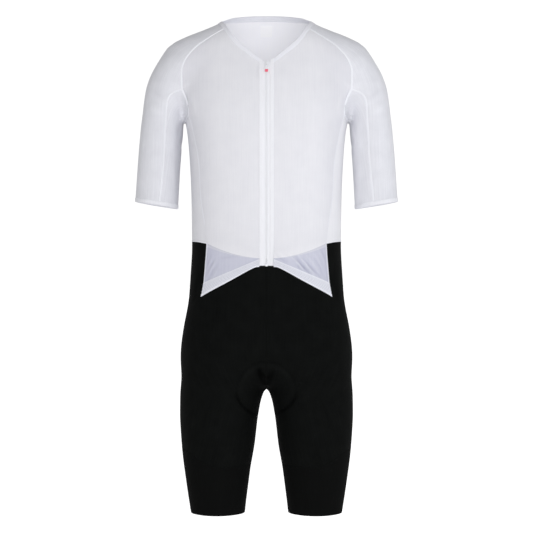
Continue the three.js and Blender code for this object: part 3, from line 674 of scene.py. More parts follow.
def cloth(name, points, where, materials, thickness=0.9, ring=False, zones=(), inner=0, crease=None):
    """A thin shell of cloth over a grid of points, with its place on the flat cloth as its UV map.
    A zone is the row where the next material starts, and inner is how far on the inside's one is."""
    rows, columns = points.shape[0] - 1, points.shape[1] - 1
    bm = bmesh.new()
    bmesh.ops.create_grid(bm, x_segments=columns, y_segments=rows, size=1)
    bm.verts.ensure_lookup_table()
    layer = bm.loops.layers.uv.new("cloth")
    # This layer holds painted shade and highlight, not stretch: the materials darken the colour in folds
    # and lighten it on ridges and edges by it.
    stretched = bm.verts.layers.float.new("crease")
    shades = np.zeros(len(bm.verts)) if crease is None else crease.ravel()
    for vertex, place, shade in zip(bm.verts, points.reshape(-1, 3) * MM, shades):
        vertex.co = place
        vertex[stretched] = shade
    spots = where.reshape(-1, 2)
    for face in bm.faces:
        face.smooth = True
        corners = [loop.vert.index for loop in face.loops]
        face.material_index = sum(min(corners) // (columns + 1) >= row for row in zones)
        for loop, corner in zip(face.loops, corners):
            loop[layer].uv = spots[corner]
    if ring:
        ends = [bm.verts[i * (columns + 1) + j] for i in range(rows + 1) for j in (0, columns)]
        bmesh.ops.remove_doubles(bm, verts=ends, dist=1e-6)
    bm.normal_update()
    bm.faces.ensure_lookup_table()
    sample = bm.faces[len(bm.faces) // 2]
    out = slope_at(np.array([sample.calc_center_median()]) / MM)[0]
    if sample.normal.dot(Vector(out)) < 0:
        bmesh.ops.reverse_faces(bm, faces=bm.faces)
    for edge in bm.edges:
        edge.smooth = not edge.is_boundary
    piece = place_bmesh(name, bm, *materials)
    wall = piece.modifiers.new("wall", "SOLIDIFY")
    wall.thickness = thickness * MM
    wall.offset = -1
    wall.material_offset = inner
    return piece


def fit(piece, slot, *nodes):
    """The piece is sewn to the suit, and stands for these nodes."""
    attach(piece, "body")
    if nodes:
        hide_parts(*nodes)
    return piece


def sew(slot, node, name, points, where, materials, cut, rests_on, area=None, held="stretched", **shell):
    """A cut piece of cloth in its node's place; the size that it was cut to and what carries it are not
    used.
    """
    piece = fit(cloth(name, points, where, materials, **shell), slot, node)


def new_group(name, inputs, outputs):
    """An empty shader node group with named inputs (and their values) and outputs."""
    group = bpy.data.node_groups.new(name, "ShaderNodeTree")
    for key, value in inputs.items():
        entry = group.interface.new_socket(key, in_out="INPUT", socket_type="NodeSocketFloat")
        entry.default_value = value
    for key in outputs:
        group.interface.new_socket(key, in_out="OUTPUT", socket_type="NodeSocketFloat")
    return group, add_node(group, "NodeGroupInput"), add_node(group, "NodeGroupOutput")


def math_node(tree, operation, first, second=None):
    """A Math node; each input is a socket or a number."""
    node = add_node(tree, "ShaderNodeMath", operation=operation)
    for slot, value in enumerate((first, second)):
        if value is None:
            continue
        if isinstance(value, (int, float)):
            node.inputs[slot].default_value = value
        else:
            tree.links.new(value, node.inputs[slot])
    return node.outputs[0]


def noise(tree, place, scale, detail, **settings):
    """Noise over the places that a socket gives."""
    node = add_node(tree, "ShaderNodeTexNoise", **settings)
    socket(node, "Scale", scale)
    socket(node, "Detail", detail)
    tree.links.new(place, node.inputs["Vector"])
    return node


def two_tone(tree, factor, low, high):
    """The base colour goes from low to high with the factor."""
    mix = add_node(tree, "ShaderNodeMix", data_type="RGBA")
    mix.inputs["A"].default_value = (*low, 1)
    mix.inputs["B"].default_value = (*high, 1)
    tree.links.new(factor, mix.inputs["Factor"])
    tree.links.new(mix.outputs["Result"], tree.nodes["Principled BSDF"].inputs["Base Color"])
    return mix


def relief(tree, height, strength, depth):
    """A fine relief in the surface, as deep as the depth in millimetres."""
    bump = add_node(tree, "ShaderNodeBump")
    socket(bump, "Strength", strength)
    socket(bump, "Distance", depth * MM)
    tree.links.new(height, bump.inputs["Height"])
    tree.links.new(bump.outputs["Normal"], tree.nodes["Principled BSDF"].inputs["Normal"])


# Knitted cloth: ribs along the grain, courses across them, and yarn that is never quite even.
knit, knit_in, knit_out = new_group(
    "knit", {"Rib": 0.0012, "Course": 0.0009, "Unevenness": 0.5}, ("Height", "Tone")
)
uv = add_node(knit, "ShaderNodeUVMap", uv_map="cloth")
split = add_node(knit, "ShaderNodeSeparateXYZ")
knit.links.new(uv.outputs["UV"], split.inputs[0])
waves = []
for axis, pitch in (("X", "Rib"), ("Y", "Course")):
    turns = math_node(knit, "DIVIDE", split.outputs[axis], knit_in.outputs[pitch])
    waves.append(math_node(knit, "COSINE", math_node(knit, "MULTIPLY", turns, 2 * math.pi)))
stretch = add_node(knit, "ShaderNodeMapping")
socket(stretch, "Scale", (420, 14, 1))
knit.links.new(uv.outputs["UV"], stretch.inputs["Vector"])
streak = noise(knit, stretch.outputs[0], 1, 2, noise_dimensions="2D")
cloud = noise(knit, uv.outputs["UV"], 38, 3, noise_dimensions="2D")
ribs = math_node(knit, "MULTIPLY_ADD", waves[0], 0.5)
ribs.node.inputs[2].default_value = 0.5
courses = math_node(knit, "MULTIPLY", waves[1], 0.22)
uneven = math_node(knit, "SUBTRACT", streak.outputs["Fac"], 0.5)
uneven = math_node(knit, "MULTIPLY", uneven, knit_in.outputs["Unevenness"])
height = math_node(knit, "ADD", math_node(knit, "ADD", ribs, courses), uneven)
knit.links.new(height, knit_out.inputs["Height"])
tone = math_node(knit, "ADD", streak.outputs["Fac"], cloud.outputs["Fac"])
tone = math_node(knit, "MULTIPLY", math_node(knit, "MULTIPLY", tone, 0.5), 0.75)
# Painted shade: the ribs part of the tone makes the colour darker in the dips between the ribs and lighter
# on them.
tone = math_node(knit, "ADD", tone, math_node(knit, "MULTIPLY", ribs, 0.25))
knit.links.new(tone, knit_out.inputs["Tone"])


def knitted(name, dark, light, rib, course, unevenness, bump, roughness, **sockets):
    """A knitted cloth: its colour goes from dark to light with the yarn's tone, with painted shade in the
    dips between ribs. The crease attribute adds painted light and shade, lighter on ridges and darker in
    folds, past the dark colour in a tight fold."""
    material = new_material(name, light, roughness, **sockets)
    tree = material.node_tree
    cloth_knit = add_node(tree, "ShaderNodeGroup", node_tree=knit)
    socket(cloth_knit, "Rib", rib)
    socket(cloth_knit, "Course", course)
    socket(cloth_knit, "Unevenness", unevenness)
    # The crease attribute holds each point's painted shade and highlight.
    crease = add_node(tree, "ShaderNodeAttribute", attribute_name="crease")
    tone = math_node(tree, "ADD", cloth_knit.outputs["Tone"], crease.outputs["Fac"])
    two_tone(tree, tone, dark, light).clamp_factor = False
    relief(tree, cloth_knit.outputs["Height"], 0.6, bump)
    return material


JERSEY_SHEEN = {"Sheen_Weight": 0.15, "Sheen_Roughness": 0.4, "Specular_IOR_Level": 0.25}
MESH = (0.0016, 0.0011, 0.9, 0.16)  # pitch of the ribs and courses in metres, unevenness, relief in mm
light_mesh = knitted(
    "light_mesh", (0.75, 0.75, 0.79), (0.88, 0.88, 0.905), *MESH, 0.82, **JERSEY_SHEEN
)
light_mesh_free = knitted(
    "light_mesh_flap", (0.67, 0.68, 0.81), (0.90, 0.91, 1.0), *MESH, 0.82, **JERSEY_SHEEN, Alpha=0.7
)
light_mesh_half_free = knitted(
    "light_mesh_flap_top", (0.71, 0.715, 0.80), (0.89, 0.895, 0.95), *MESH, 0.82,
    **JERSEY_SHEEN, Alpha=0.78,
)
# The inside face glows a little: a painted light that stands in for the daylight coming through so thin a
# cloth.
light_mesh_inside = knitted(
    "light_mesh_inside", (0.77, 0.77, 0.80), (0.85, 0.85, 0.87), *MESH, 0.85,
    Sheen_Weight=0.1, Sheen_Roughness=0.4, Specular_IOR_Level=0.2,
    Emission_Color=(0.97, 0.97, 1.0, 1), Emission_Strength=0.17,
)

# Main creases of the jersey, as guide points with a width and a rise. The armholes fold in most.
JERSEY_FOLDS = []
ARMHOLE_FOLDS = [
    ((164, -72, -126), (160, -67, -145), (157.5, -60, -160), (155.5, -50, -172), (158, -26, -179), 2, -4.2),
    ((169, -70, -136), (164, -60, -162), (163, -44, -182), (165, -26, -206), 7, -1.3),
    ((148, -78, -128), (143, -80, -152), (140, -74, -178), 7, 1.2),
    ((150, -82, -106), (161, -70, -119), (176, -62, -122), 3.2, 0.9),
    ((162, 70, -116), (159, 66, -144), (154, 58, -170), (150, 48, -198), 3.6, -5),
    ((128, 92, -150), (142, 80, -140), (154, 70, -126), 6, 1.2),
    ((120, 92, -196), (136, 78, -182), (148, 62, -170), 7, -1.2),
]
for turn, depth in ((np.ones(3), 1.0), (MIRROR, 1.15)):
    JERSEY_FOLDS += [fold(turn * guides, width, rise * depth) for *guides, width, rise in ARMHOLE_FOLDS]
JERSEY_FOLDS += folds_on(
    on_back,
    ((-96, -352), (-30, -364), (52, -356), (104, -342), 11, -1.5),
    ((-104, -378), (-52, -388), (18, -385), 8, 1.0),
    ((-40, -322), (20, -330), (84, -318), 10, 0.9),
    ((-18, -306), (-60, -300), (-110, -288), 9, -0.9),
    ((60, -70), (88, -100), (106, -142), 12, -1.0),
    ((-58, -64), (-84, -104), (-98, -150), 13, -1.1),
)
JERSEY_FOLDS += folds_on(
    on_front,
    ((24, -96), (34, -122), (33, -152), 9, 0.6),
    ((-17, -76), (-18.5, -90), (-17.5, -108), 2.4, -0.9),
)
FLAP_FOLDS = folds_on(
    on_front,
    ((56, -436), (71, -454), (91, -479), 1.8, 1.6),
    ((54, -441), (68, -460), (86, -478), 2.4, -1.9),
    ((64, -441), (80, -459), (104, -484), 2.2, -1.4),
    ((74, -438), (85, -453), (100, -476), 2.0, 1.0),
    ((88, -444), (101, -464), (106, -480), 2.2, -1.0),
    ((88, -434), (98, -452), (108, -480), 1.8, 0.8),
    ((100, -426), (108, -442), (112, -458), 2.0, -0.9),
    ((95, -428), (104, -444), (110, -462), 1.8, 0.6),
    ((57, -450), (64, -462), (68, -469), 1.8, 1.0),
    ((54, -456), (61, -463), (69, -470), 1.8, -1.2),
    ((16, -436), (26, -445), (38, -454), 2.0, -1.1),
    ((15, -429), (30, -440), (46, -449), 2.0, 0.7),
    ((38, -436), (52, -448), (72, -470), 1.8, 1.3),
    ((44, -437), (58, -451), (78, -474), 1.9, -0.6),
    ((110, -452), (112.5, -470), (114, -488), 2.0, -0.8),
    ((-104, -438), (-109, -452), (-112, -466), 1.7, -0.7),
    ((-96, -444), (-105, -460), (-112, -476), 1.7, -0.8),
    ((-90, -452), (-102, -471), (-111, -488), 1.8, -0.7),
    ((-100, -440), (-107, -455), (-111, -468), 1.5, 0.6),
    ((-93, -447), (-104, -467), (-111, -482), 1.5, 0.6),
    ((-86, -458), (-97, -476), (-107, -491), 1.6, 0.5),
    ((-30, -436), (-60, -441), (-92, -446), 3.0, -0.4),
)

BODY_STEPS = 19
front_side = chain(raglan_front, armhole_front, side_seam_front)
flap_start = shorts_top_height(ZIP_HALF)
zip_edge = zip_side(ZIP_HALF, NECK_POINT, flap_start, BODY_STEPS)
front_upper = patch(vee_seam, scoop_line, zip_edge, front_side)
flap_zip_edge = zip_side(ZIP_HALF, flap_start, HEM_POINT, 3)
front_flap = patch(scoop_line, flap_hem_seam, flap_zip_edge, flap_edge)
front_grid = np.vstack([front_upper, front_flap[1:]])
front_grain = grain(front_grid, start=ZIP_HALF)
free_rows = BODY_STEPS * FINE
for side, turn in SIDES:
    grid = front_grid * turn
    folds = fold_height(grid, JERSEY_FOLDS + FLAP_FOLDS)
    pull = seam_pull(front_grid, ("top", "left", "right"), 1.0 if side == "right" else 2.3)
    # Painted shade: the sides of the chest, which turn away from the light, are painted darker, and the
    # folds are painted darker in their troughs and lighter on their ridges.
    side_shade = ease(np.abs(grid[..., 0]), 85, 138)
    fold_shade = 0.32 * fold_height(grid, FLAP_FOLDS) + 0.22 * fold_height(grid, JERSEY_FOLDS)
    outside = [light_mesh, light_mesh_half_free, light_mesh_free]
    sew(
        "light_mesh", f"front_{side}", f"front_panel_{side}",
        raised(grid, flap_lift(grid) + folds + pull), front_grain,
        [*outside, light_mesh_inside, *outside[1:]],
        cut=(0.165, 0.53), area=0.058, rests_on=[f"sleeve_upper_{side}", "neck_binding"],
        zones=(free_rows, free_rows + 2), inner=3, crease=fold_shade - 0.45 * side_shade - 0.12,
    )

# ---- Hem bands of the flaps ------------------------------------------------------------------------
# The lower edge of each flap is turned up into a doubled band, topstitched along its upper edge. The
# free side edge is rolled into a narrow hem.

hem_knit = knitted(
    "hem_band_knit", (0.76, 0.77, 0.84), (0.92, 0.93, 1.0), 0.0016, 0.0011, 0.8, 0.14, 0.8,
    **JERSEY_SHEEN, Alpha=0.8,
)
hem_grid = strip(flap_hem_seam, flap_hem_edge, 8).swapaxes(0, 1)
hem_grid = finer(hem_grid, np.arange(0, 7 * FINE + 0.01, 0.4)).swapaxes(0, 1)
hem_grain = grain(hem_grid, start=ZIP_HALF)
across_band = np.linspace(0, 1, 9)[:, None]
rim = 0.45 * np.exp(-((across_band - 0.94) ** 2) / 0.004)
slant = travelled(hem_grid[4]) + 24 * across_band
ripple = np.sin(slant / 0.85 + 1.4 * np.sin(slant / 9)) * np.sin(math.pi * across_band)
# The band's ripples are also painted: lighter on their crests, darker between them.
ripple_shade = 0.9 * ripple * ease(across_band, 0.3, 0.45)
# A painted highlight along the top edge, over a band painted slightly darker.
top_shine = 0.4 * np.exp(-(((across_band - 0.06) / 0.07) ** 2)) - 0.1
for side, turn in SIDES:
    grid = hem_grid * turn
    height = flap_lift(grid) + 0.5 + 0.4 * fold_height(grid, FLAP_FOLDS) + rim + ripple * 0.14
    # A painted highlight along the rolled lower edge, stronger on the left band than the right.
    edge_shine = (1.3 if side == "left" else 0.8) * ease(across_band, 0.75, 0.95)
    sew(
        "light_mesh", f"hem_band_{side}", f"hem_band_{side}_cloth",
        raised(grid, height), hem_grain, [hem_knit],
        cut=(0.125, 0.028), area=0.0021, held="hung", rests_on=[f"front_{side}"],
        thickness=1.0, crease=ripple_shade + edge_shine + top_shine,
    )

# ---- Back panel ------------------------------------------------------------------------------------
# One piece of the same light mesh from the neck binding to the waist seam, between the two raglan
# and side seams, with the ribs along the spine.

back_side = chain(raglan_back, armhole_back[::-1], side_seam_back)
back_grid = patch(both_sides(back_neck_seam), both_sides(waist_back), back_side, back_side * MIRROR)
ALL_ROUND = ("top", "bottom", "left", "right")
back_height = fold_height(back_grid, JERSEY_FOLDS) + seam_pull(back_grid, ALL_ROUND, 3.1)
sew(
    "light_mesh", "back", "back_panel",
    raised(back_grid, back_height), grain(back_grid, middle=len(back_grid[0]) // 2),
    [light_mesh, light_mesh_inside],
    cut=(0.35, 0.44), area=0.121, rests_on=["sleeve_upper_right", "sleeve_upper_left", "neck_binding"],
    inner=1,
)

# ---- Side panels -----------------------------------------------------------------------------------
# A panel under each arm, from the underarm seam down to the waist, between the front and back side seams.
# Same cloth, seen edge on from the front; the side away from the light is painted darker and the other a
# little lighter, and the folds are painted darker in their troughs.

side_grid = patch(underarm, chain(waist_front, waist_side), side_seam_front, side_seam_back)
side_grain = grain(side_grid, middle=len(side_grid[0]) // 2)
for side, turn in SIDES:
    dips = fold_height(side_grid * turn, JERSEY_FOLDS)
    sew(
        "light_mesh", f"side_{side}", f"side_panel_{side}",
        raised(side_grid * turn, dips + seam_pull(side_grid, ALL_ROUND, 4.2)), side_grain,
        [light_mesh, light_mesh_inside],
        cut=(0.165, 0.25), area=0.033, rests_on=[f"front_{side}", "back"],
        inner=1, crease=0.22 * dips + (0.08 if side == "right" else -0.2),
    )

# ---- Sleeves and cuffs -----------------------------------------------------------------------------
# Each raglan sleeve has an upper piece from the neck to the cuff and an under piece from the armhole,
# both of a closer ribbed knit. The cuff is a turned hem with a twin-needle stitch.

ribbed_knit = knitted(
    "ribbed_knit", (0.66, 0.665, 0.71), (0.90, 0.905, 0.945), 0.0021, 0.001, 1.4, 0.26, 0.8, **JERSEY_SHEEN
)
sleeve_front = chain(raglan_front, sleeve_front_seam)
sleeve_back = chain(raglan_back, sleeve_back_seam)
upper_grid = patch(sleeve_neck_seam, cuff_top_outer, sleeve_front, sleeve_back)
upper_grain = grain(upper_grid, middle=len(upper_grid[0]) // 2, level=False)
armhole = chain(armhole_front, underarm, armhole_back)
under_grid = patch(armhole, cuff_top_inner, sleeve_front_seam, sleeve_back_seam)
close_rows = np.r_[np.arange(0, 12, 1 / 3), np.arange(12, len(under_grid))]
under_grid = finer(under_grid, close_rows)
under_grain = grain(under_grid, middle=len(under_grid[0]) // 2, level=False)
cuff_top = chain(cuff_top_outer, cuff_top_inner[::-1])
cuff_edge = chain(cuff_edge_outer, cuff_edge_inner[::-1])
cuff_grid = strip(cuff_top, cuff_edge, 8)
cuff_grain = grain(cuff_grid)
SLEEVE_FOLDS = [
    ((224, -52, -118), (206, -58, -132), (190, -58, -142), 6, -0.9),
    ((230, -46, -150), (214, -52, -162), (198, -52, -170), 7, 0.8),
    ((226, 50, -126), (206, 56, -146), (190, 54, -158), 7, -1.0),
    ((238, 34, -196), (218, 46, -214), (200, 46, -226), 8, 0.8),
    ((170, -22, -214), (168, 4, -226), (172, 26, -222), 7, -0.9),
]
cuff_roll = np.sqrt(np.clip(1 - (2 * across_band - 1) ** 6, 0, 1))
for side, turn in SIDES:
    folds = JERSEY_FOLDS + [fold(turn * guides, width, rise) for *guides, width, rise in SLEEVE_FOLDS]
    # One inner arm faces the light and is painted lighter; the other lies in the body's shade and is
    # painted darker, on a narrower strip. The folds are painted too, darker in their troughs and lighter on
    # their ridges.
    shade, reach = (0.35, 20) if side == "right" else (-0.4, 9)
    for part, grid, where, seed, cut, area, neighbour in (
        ("upper", upper_grid * turn, upper_grain, 5.0, (0.215, 0.42), 0.068, "back"),
        ("under", under_grid * turn, under_grain, 6.0, (0.22, 0.23), 0.026, f"sleeve_upper_{side}"),
    ):
        dips = fold_height(grid, folds)
        inner_arm = 1 - ease(np.abs(grid[..., 0]), 172, 172 + reach)
        below_pit = ease(-grid[..., 2], 175, 205)
        sew(
            "ribbed_knit", f"sleeve_{part}_{side}", f"sleeve_{part}_{side}_cloth",
            raised(grid, dips + seam_pull(grid, ("top", "left", "right"), seed)), where,
            [ribbed_knit, light_mesh_inside],
            cut=cut, area=area, rests_on=[neighbour],
            inner=1, crease=0.2 * dips + shade * inner_arm * below_pit,
        )
    # The cuff is painted a little lighter, most on the crest of its roll: a painted highlight.
    sew(
        "ribbed_knit", f"cuff_{side}", f"cuff_{side}_cloth",
        raised(cuff_grid * turn, 0.1 + 0.5 * cuff_roll), cuff_grain, [ribbed_knit],
        cut=(0.277, 0.01), area=0.0023, rests_on=[f"sleeve_upper_{side}", f"sleeve_under_{side}"],
        thickness=1.2, ring=True,
        crease=np.broadcast_to(0.12 + 0.15 * cuff_roll, cuff_grid.shape[:2]),
    )

# ---- Shorts ----------------------------------------------------------------------------------------
# Black elastic knit in four panels, sewn at the centre, the sides and the inseams. The front has a
# scooped top edge behind the flaps, and the pad inside shows as a round outline at the crotch.

BLACK_SHEEN = {"Sheen_Weight": 0.008, "Sheen_Roughness": 0.35, "Specular_IOR_Level": 0.035}
black_lycra = knitted(
    "black_lycra", (0.0010, 0.0012, 0.0011), (0.0072, 0.0080, 0.0076), 0.0008, 0.0007, 0.4, 0.06, 0.8,
    **BLACK_SHEEN,
)


def round_line(radius, first, last):
    """Guide points round the crotch, where the edge of the pad pushes the cloth out."""
    turns = np.radians(np.arange(first, last, 10))
    return np.stack([radius * np.cos(turns), -697 + radius * np.sin(turns)], 1)


SHORTS_FOLDS = folds_on(
    on_front,
    (*round_line(56, -18, 209), 2.6, -0.8),
    (*round_line(48, -5, 196), 5.0, 0.9),
    ((-58, -694), (-53, -715), (-40, -732), (-18, -752), 2.8, -2.3),
    ((57, -696), (51, -716), (38, -731), (18, -746), 2.8, -2.3),
    ((-19, -650), (-10, -668), (0, -690), 6.0, -3.4),
    ((13, -656), (7, -670), (1, -690), 6.0, -2.6),
)
SHORTS_FOLDS += folds_on(
    on_back,
    ((-40, -772), (-70, -752), (-116, -728), 7, -1.6),
    ((38, -770), (74, -748), (122, -724), 7, -1.5),
    ((-26, -690), (-52, -700), (-90, -694), 8, -1.3),
    ((26, -690), (54, -702), (94, -698), 8, -1.4),
    ((-40, -655), (-52, -640), (-56, -615), (-40, -596), 5, -0.8),
    ((40, -655), (52, -640), (56, -615), (40, -596), 5, -0.8),
)
SHORTS_FOLDS += folds_on(
    on_front,
    ((118, -470), (132, -500), (139, -540), 9, -0.9),
    ((-120, -466), (-134, -498), (-140, -534), 9, -0.9),
)
shorts_front_grid = patch(
    chain(shorts_top, waist_front), band_seam_front, chain(centre_front, inseam), shorts_side
)
shorts_back_grid = patch(
    chain(waist_side, waist_back)[::-1], band_seam_back[::-1], chain(centre_back, inseam), shorts_side
)
for part, half_grid, cut, area, held_by, sewn in (
    ("front", shorts_front_grid, (0.275, 0.465), 0.095, ["side_right", "side_left"], ALL_ROUND[1:]),
    ("back", shorts_back_grid, (0.275, 0.52), 0.097, ["back"], ALL_ROUND),
):
    for side, turn in SIDES:
        # The folds are painted as well: darker in their troughs, down to a limit, and lighter on their
        # ridges.
        dips = fold_height(half_grid * turn, SHORTS_FOLDS)
        sew(
            "black_lycra", f"shorts_{part}_{side}", f"shorts_{part}_{side}_cloth",
            raised(half_grid * turn, dips + seam_pull(half_grid, sewn, 7.0)), grain(half_grid),
            [black_lycra],
            cut=cut, area=area, rests_on=held_by, crease=np.maximum(0.22 * dips, -0.5),
        )

black_band = knitted(
    "black_band", (0.0026, 0.0028, 0.0027), (0.0052, 0.0055, 0.0053), 0.0012, 0.0010, 0.5, 0.10, 0.85,
    **BLACK_SHEEN,
)
band_grid = strip(
    chain(band_seam_front, band_seam_back), chain(leg_hem_front, leg_hem_back), 3 * FINE
)
band_grain = grain(band_grid)
for side, turn in SIDES:
    sew(
        "black_band", f"leg_band_{side}", f"leg_band_{side}_cloth",
        band_grid * turn, band_grain, [black_band],
        cut=(0.43, 0.128), area=0.04, rests_on=[f"shorts_front_{side}", f"shorts_back_{side}"],
        ring=True,
    )

# ---- Neck binding ----------------------------------------------------------------------------------
# A soft doubled band of a closer knit, about 9 mm wide. It is folded over the raw neck edge and sewn
# down from one zip tape, up the V and round the back of the neck, to the other.

binding_knit = knitted(
    "binding_knit", (0.82, 0.825, 0.88), (0.89, 0.895, 0.94), 0.0011, 0.0011, 0.6, 0.10, 0.72,
    Sheen_Weight=0.2, Sheen_Roughness=0.4, Specular_IOR_Level=0.3,
)
binding_seam = both_sides(chain(vee_seam, sleeve_neck_seam, back_neck_seam))
binding_edge = both_sides(chain(vee_edge, sleeve_neck_edge, back_neck_edge))
binding_grid = strip(binding_seam, binding_edge, 10)
binding_roll = np.sqrt(np.clip(1 - (2 * np.linspace(0, 1, 11)[:, None] - 1) ** 6, 0, 1))
sew(
    "binding", "neck_binding", "neck_binding_cloth",
    raised(binding_grid, 0.1 + 0.6 * binding_roll), grain(binding_grid, level=False), [binding_knit],
    cut=(0.01, 0.58), area=0.0051, rests_on=["front_right", "front_left", "back"],
    thickness=1.6,
)

# ---- Zip -------------------------------------------------------------------------------------------
# A white coil zip runs from the neck down to the flaps. The turned edges of the fronts are stitched
# down on its two woven tapes, and a spiral of nylon is sewn to the inner edge of each tape.

tape_weave = knitted(
    "zip_tape_weave", (0.83, 0.835, 0.87), (0.91, 0.915, 0.945), 0.0007, 0.0009, 0.35, 0.07, 0.6,
    Sheen_Weight=0.1, Sheen_Roughness=0.4, Specular_IOR_Level=0.35,
)
TAPE_END = -459.5
CHAIN_TOP = -81
TAPE_INNER = CHAIN_HALF - 1
t = np.linspace(0, 1, 19)[:, None]
tape_grid = np.stack([
    zip_side(TAPE_INNER + (ZIP_HALF - TAPE_INNER) * share, top, TAPE_END, 22)
    for share, top in zip(t[:, 0], CHAIN_TOP + (ZIP_TOP - CHAIN_TOP) * ease(t[:, 0], 0, 0.75))
])
turned_edge = 0.55 * ease(t, 0.42, 0.58) - 0.12 * np.exp(-(((t - 0.66) / 0.06) ** 2))
sewn_cord = 0.2 * np.exp(-(((t - 0.12) / 0.08) ** 2)) - 0.15 * (1 - ease(t, 0.3, 0.5))
tape_height = turned_edge + sewn_cord - 0.3 * ease(t, 0.93, 1)
for side, turn in SIDES:
    wander = 0.1 * np.sin(travelled(tape_grid[4]) / 7 + turn[0]) * ease(t, 0.45, 0.6)
    grid = tape_grid * turn
    sew(
        "zip_tape", f"zip_tape_{side}", f"zip_tape_{side}_woven",
        raised(grid, tape_height + wander + flap_lift(grid) * 0.12), grain(tape_grid, level=False),
        [tape_weave], cut=(0.0123, 0.392), rests_on=[f"front_{side}"], thickness=0.8,
    )


def along_line(path, pitch):
    """Places at an even pitch along a line, and the way that the line runs at each."""
    far = travelled(path)
    at = np.arange(pitch / 2, far[-1], pitch)
    ways = np.gradient(path, far, axis=0)
    places, ways = (np.stack([np.interp(at, far, axis) for axis in v.T], 1) for v in (path, ways))
    return places, ways / np.linalg.norm(ways, axis=1)[:, None]


def scatter(name, places, ways, size, material, lift=0.0):
    """One mesh of many small rounded shapes, each lying along its own way on the cloth."""
    bm = bmesh.new()
    bmesh.ops.create_icosphere(bm, subdivisions=1, radius=0.5)
    shape = np.array([v.co[:] for v in bm.verts]) * size
    corners = np.array([[v.index for v in face.verts] for face in bm.faces])
    bm.free()
    out = outward(places)
    across = np.cross(out, ways)
    across /= np.linalg.norm(across, axis=1)[:, None]
    ways = np.cross(across, out)
    frames = np.stack([ways, across, out], axis=1)
    points = (places + out * lift)[:, None] + np.einsum("sa,pab->psb", shape, frames)
    faces = corners[None] + (np.arange(len(places)) * len(shape))[:, None, None]
    mesh = bpy.data.meshes.new(name)
    mesh.from_pydata((points.reshape(-1, 3) * MM).tolist(), [], faces.reshape(-1, 3).tolist())
    mesh.polygons.foreach_set("use_smooth", [True] * len(mesh.polygons))
    return place_mesh(name, mesh, material)


zip_nylon = new_material(
    "zip_coil_nylon", (0.86, 0.87, 0.89), 0.42, Specular_IOR_Level=0.4, Coat_Weight=0.15
)
tree = zip_nylon.node_tree
place = add_node(tree, "ShaderNodeTexCoord")
cloudy = noise(tree, place.outputs["Object"], 900, 2)
two_tone(tree, cloudy.outputs["Fac"], (0.88, 0.89, 0.92), (0.96, 0.965, 0.985))

COIL_PITCH = 1.1
middle_line = zip_side(0, -84, TAPE_END, 40)
coil_places, coil_ways = along_line(middle_line, COIL_PITCH / 2)
coil_ways = np.cross(outward(coil_places), coil_ways)
coil_places = coil_places + coil_ways * np.where(np.arange(len(coil_places)) % 2, 0.75, -0.75)[:, None]
coil = scatter("zip_coil", coil_places, coil_ways, (2.9, 0.95, 1.1), zip_nylon, lift=0.1)
fit(coil, "zip_coil", "zip_chain")
bed = strip(middle_line + (-2, 0, 0), middle_line + (2, 0, 0), 4)
fit(cloth("zip_coil_cord", raised(bed, -0.3), grain(bed), [tape_weave], thickness=0.4), "zip_coil")

# ---- Zip slider, pull and stop -----------------------------------------------------------------------
# The slider is white enamelled metal. Its pull hangs from a bridge on the front, and ends in a small
# tip of coral rubber moulded round it. The pull turns on the bridge, so it rides on its own body.

enamel = new_material(
    "white_enamel", (0.80, 0.81, 0.84), 0.3, Specular_IOR_Level=0.5, Coat_Weight=0.5, Coat_Roughness=0.15
)
coral = new_material("coral_rubber", (0.83, 0.10, 0.16), 0.55, Specular_IOR_Level=0.35)

# Worn paint or rubber: small marks and a slightly dull, uneven surface.
wear, wear_in, wear_out = new_group("fine_wear", {"Scale": 1200.0}, ("Mask", "Height"))
place = add_node(wear, "ShaderNodeTexCoord")
speckle = noise(wear, place.outputs["Object"], 1200, 4)
wear.links.new(wear_in.outputs["Scale"], speckle.inputs["Scale"])
step = add_node(wear, "ShaderNodeMapRange")
socket(step, "From Min", 0.35)
socket(step, "From Max", 0.75)
wear.links.new(speckle.outputs["Fac"], step.inputs["Value"])
wear.links.new(step.outputs["Result"], wear_out.inputs["Mask"])
wear.links.new(speckle.outputs["Fac"], wear_out.inputs["Height"])
for material, low, high, dull in (
    (enamel, (0.80, 0.81, 0.84), (0.92, 0.93, 0.95), 0.42),
    (coral, (0.84, 0.11, 0.17), (0.95, 0.20, 0.27), 0.7),
):
    tree = material.node_tree
    shader = tree.nodes["Principled BSDF"]
    marks = add_node(tree, "ShaderNodeGroup", node_tree=wear)
    two_tone(tree, marks.outputs["Mask"], low, high)
    gloss = add_node(tree, "ShaderNodeMapRange")
    socket(gloss, "To Min", shader.inputs["Roughness"].default_value)
    socket(gloss, "To Max", dull)
    tree.links.new(marks.outputs["Mask"], gloss.inputs["Value"])
    tree.links.new(gloss.outputs["Result"], shader.inputs["Roughness"])
    relief(tree, marks.outputs["Height"], 0.3, 0.05)


def rounded_copy(name, node, body, material, radius):
    """The node's own shape with its sharp edges rounded off, as casting or moulding leaves them."""
    bm = bmesh.new()
    bm.from_mesh(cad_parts[node].data)
    bmesh.ops.remove_doubles(bm, verts=bm.verts, dist=2e-6)
    bmesh.ops.dissolve_limit(bm, angle_limit=0.03, verts=bm.verts, edges=bm.edges)
    sharp = [e for e in bm.edges if e.is_manifold and e.calc_face_angle(0) > 0.6]
    bmesh.ops.bevel(
        bm, geom=sharp, offset=radius * MM, offset_type="OFFSET", segments=3, profile=0.5,
        affect="EDGES", clamp_overlap=True, material=-1,
    )
    for face in bm.faces:
        face.smooth = True
    piece = place_bmesh(name, bm, material)
    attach(piece, body)
    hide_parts(node)


